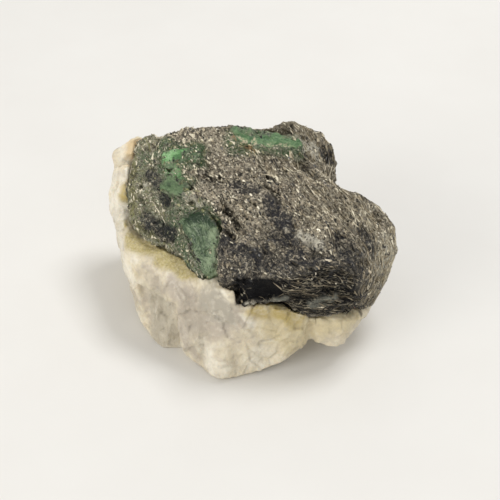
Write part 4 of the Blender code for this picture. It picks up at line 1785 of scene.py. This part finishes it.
@dataclass
class Studio:
    """A plain pale floor, soft lights and the camera.

    The floor's sizes are in metres. The camera looks at its aim from a distance, at a rise in degrees over
    level, and the nudge moves it sideways and upwards.
    """

    floor_size: float = 4.0
    floor_mottle: float = 0.03
    floor_colours: tuple[Colour, Colour] = ((0.775, 0.762, 0.736), (0.795, 0.785, 0.76))
    floor_roughness: float = 0.8
    sky_colour: Colour = (1.0, 0.985, 0.95)
    sky_strength: float = 0.625
    lights: tuple[Light, ...] = (
        Light("key", (0.22, 0.16, 0.66), 0.24, 2.25, (1.0, 1.0, 1.0)),
        Light("side_fill", (-0.48, -0.36, 0.24), 0.40, 1.65, (1.0, 0.98, 0.94)),
    )
    aim: Place = (1.06, 0.0, 16.0)
    rise: float = 40.0
    distance: float = 300.0
    nudge: tuple[float, float] = (-0.81, 0.33)
    lens: float = 97.85
    sensor: float = 36.0

    def build(self) -> None:
        """Set up the floor, the lights and the camera."""
        self.build_floor()
        self.build_lights()
        self.build_camera()

    def build_floor(self) -> None:
        """Lay the floor."""
        bpy.ops.mesh.primitive_plane_add(size=self.floor_size, location=(0.0, 0.0, 0.0))
        floor = bpy.context.object
        floor.name = "floor"
        material = bpy.data.materials.new("pale_floor")
        material.use_nodes = True
        shader = material.node_tree.nodes["Principled BSDF"]
        graph = Graph(material.node_tree)
        place = graph.node("TexCoord", {}).outputs["Object"]
        tone = graph.noise(place, self.floor_mottle, 3.0)
        colour = graph.shades(tone, zip((0.3, 0.7), self.floor_colours))
        material.node_tree.links.new(colour, shader.inputs["Base Color"])
        shader.inputs["Roughness"].default_value = self.floor_roughness
        floor.data.materials.append(material)

    def build_lights(self) -> None:
        """Hang the lights under a warm sky."""
        world = bpy.data.worlds.new("studio")
        world.use_nodes = True
        sky = world.node_tree.nodes["Background"]
        sky.inputs["Color"].default_value = (*self.sky_colour, 1.0)
        sky.inputs["Strength"].default_value = self.sky_strength
        bpy.context.scene.world = world
        for light in self.lights:
            light.hang()

    def build_camera(self) -> None:
        """Look down on the broad front."""
        angle = math.radians(self.rise)
        back = Vector((0.0, -math.cos(angle), math.sin(angle)))
        right = Vector((1.0, 0.0, 0.0))
        up = back.cross(right)
        data = bpy.data.cameras.new("camera")
        data.lens = self.lens
        data.sensor_width = self.sensor
        camera = bpy.data.objects.new("camera", data)
        sideways, upwards = self.nudge
        place = Vector(self.aim) + back * self.distance + right * sideways + up * upwards
        turn = Matrix((right, up, back)).transposed()
        camera.matrix_world = Matrix.Translation(place * MM) @ turn.to_4x4()
        bpy.context.scene.collection.objects.link(camera)
        bpy.context.scene.camera = camera
        bpy.context.scene.view_settings.view_transform = "Standard"


# -------------------- The specimen --------------------

GRASS = EmeraldFinish("emerald_grass", (0.085, 0.205, 0.074), (0.205, 0.405, 0.168), (0.34, 0.52, 0.29))
DUSKY = EmeraldFinish("emerald_dusky", (0.050, 0.088, 0.040), (0.095, 0.155, 0.072), (0.17, 0.24, 0.125))
BOTTLE = EmeraldFinish("emerald_bottle", (0.010, 0.030, 0.009), (0.066, 0.110, 0.052), (0.25, 0.32, 0.19))
FOREST = EmeraldFinish("emerald_forest", (0.040, 0.105, 0.038), (0.090, 0.185, 0.078), (0.24, 0.33, 0.165))

EMERALDS = (
    Emerald(
        "emerald_front", BOTTLE, (-0.2, -0.45, 0.87),
        milky=(Patch((-7.4, -8.4, 27.4), (-7.6, -14.6, 22.8), 1.5),),
        wispy=(Patch((-9.4, -7.0, 28.0), (-9.0, -14.0, 22.8), 3.4),),
        shade=(Patch((-11.6, -3.6, 29.2), (-7.8, -4.6, 29.4), 2.4),),
    ),
    Emerald(
        "emerald_left", GRASS, (-0.35, -0.4, 0.85),
        swell=(Patch((-18.0, 7.4, 33.4), (-16.4, 7.0, 33.4), 1.4),),
        shade=(Patch((-14.2, 8.6, 35.2), (-10.0, 8.6, 36.2), 2.6),),
        veil=(Patch((-12.8, 9.0, 35.8), (-10.0, 8.6, 36.2), 2.4),), swell_height=1.6,
    ),
    Emerald("emerald_left_low", DUSKY, (-0.35, -0.4, 0.85)),
    Emerald(
        "emerald_top", FOREST, (0.0, -0.32, 0.95),
        vein=(
            Patch((1.6, 12.8, 37.0), (1.2, 11.4, 36.6), 0.7),
            Patch((3.6, 11.6, 36.5), (8.4, 11.4, 36.0), 1.0),
            Patch((-3.6, 13.4, 37.6), (0.0, 10.8, 36.8), 1.1),
        ),
        swell=(Patch((-3.6, 15.6, 37.8), (6.4, 15.6, 36.9), 1.7),), swell_height=0.9,
    ),
)


@dataclass(frozen=True)
class Inlay:
    """Mica flakes, mica fibres and feldspar grains in the schist, with some flakes on the crystals' edges.

    A density is how likely a piece is at a point, next to the other points. A tone runs from 0, dark, to 1.
    """

    flakes: Scatter = Scatter(
        "mica_flakes", flake_shape, count=12000, length=(0.30, 1.05), slimness=0.42, thickness=0.07,
        lean=0.28, depth=-0.02, variety=0.38, seed=Pattern.FLAKES,
    )
    fibres: Scatter = Scatter(
        "mica_fibres", fibre_shape, count=4900, length=(1.2, 5.4), slimness=0.034, thickness=0.036,
        lean=0.05, depth=0.0, variety=0.22, seed=Pattern.FIBRES, clings=True,
    )
    grains: Scatter = Scatter(
        "feldspar_grains", grain_shape, count=6000, length=(0.25, 0.7), slimness=0.8, thickness=0.7,
        lean=0.3, depth=0.15, variety=0.3, seed=Pattern.GRAINS,
    )
    rarest: float = 1e-6
    rock_tone: float = 0.55
    crystal_tone: float = 0.18
    grain_tone: float = 0.45
    fibre_lightness: float = 0.13
    fibre_order: float = 2.5

    def build(self, workshop: Workshop, slab: SchistSlab, schist: Skin, crystals: list[Skin]) -> None:
        """Set the pieces into the rock.

        Args:
            workshop: The shared groups.
            slab: The slab.
            schist: The slab's skin.
            crystals: The crystals' skins.
        """
        places = schist.places
        sides = slab.sides(schist)
        bed = schist.marks["stain"]
        seen = ramp(schist.normals[:, 2], -0.6, 0.0)
        dark = slab.dark_share(places)
        front = slab.near_front(places, sides)
        bare = np.maximum(
            np.maximum(0.8 * dark, 0.5 * bed), 0.8 * covered(places, slab.feldspar + slab.crusts, 0.8),
        )
        open_rock = seen * (1.0 - bare) * (1.0 - 0.6 * ramp(sides["shoulder"], 0.7, 1.0))
        open_rock = open_rock * (1.0 - 0.97 * sides["front"])
        open_rock = open_rock * (1.0 - 0.65 * sides["right_end"] - 0.5 * sides["left_end"])
        behind = ramp(places[:, 0], 2.0, -6.0) * ramp(places[:, 1], -7.0, 0.0)
        tone = self.rock_tone - 0.38 * np.maximum(dark, front)
        tone = tone + 0.18 * sides["left_end"] + 0.12 * sides["right_end"]
        tone = tone + 0.20 * rough_noise(places, 3.6, Pattern.FLAKE_TONES)
        tone = tone + 0.12 * behind * (1.0 - sides["left_end"])
        green = np.maximum(0.8 * sides["left_end"], bed)
        rock = Ground(places, schist.normals, slab.along(sides, len(tone)), tone, green)
        density = [open_rock, *(0.4 * crystal.marks["veil"] for crystal in crystals)]
        self.flakes.build(
            self.with_crystals(rock, crystals), np.concatenate(density) + self.rarest,
            FlakeFinish().material(workshop),
        )
        rock.tone = tone + self.fibre_lightness + 0.12 * sides["right_end"] + 0.18 * sides["front"]
        rock.along = self.fibre_order * rock.along
        rock.tree = BVHTree.FromObject(schist.item, bpy.context.evaluated_depsgraph_get())
        streaky = ramp(sides["shoulder"], 0.6, 1.0) + 1.4 * sides["right_end"] + 1.0 * sides["front"]
        streaky = seen * (0.12 + streaky) * (1.0 - bed) * (1.0 - sides["block"])
        self.fibres.build(rock, streaky + self.rarest, FlakeFinish("mica_fibres").material(workshop))
        rock.tone = np.full(len(tone), self.grain_tone)
        pale = open_rock * (1.0 - 0.8 * dark) * (1.0 - 0.6 * front)
        self.grains.build(rock, pale + self.rarest, GrainFinish().material(workshop))

    def with_crystals(self, rock: Ground, crystals: list[Skin]) -> Ground:
        """Add the crystals' points to the rock's.

        Args:
            rock: The rock's points.
            crystals: The crystals' skins.

        Returns:
            All the points, the rock's first.
        """
        count = sum(len(crystal.places) for crystal in crystals)
        return Ground(
            np.concatenate([rock.places, *(crystal.places for crystal in crystals)]),
            np.concatenate([rock.normals, *(crystal.normals for crystal in crystals)]),
            np.concatenate([rock.along, np.tile(Lineation.LEFT_END.way, (count, 1))]),
            np.concatenate([rock.tone, np.full(count, self.crystal_tone)]),
            np.concatenate([rock.green, np.ones(count)]),
        )


def main() -> None:
    workshop = Workshop()
    QuartzBase().build(workshop)
    slab = SchistSlab()
    schist = slab.build(workshop)
    crystals = [emerald.build(workshop) for emerald in EMERALDS]
    Inlay().build(workshop, slab, schist, crystals)
    Studio().build()


if __name__ == "__main__":
    main()
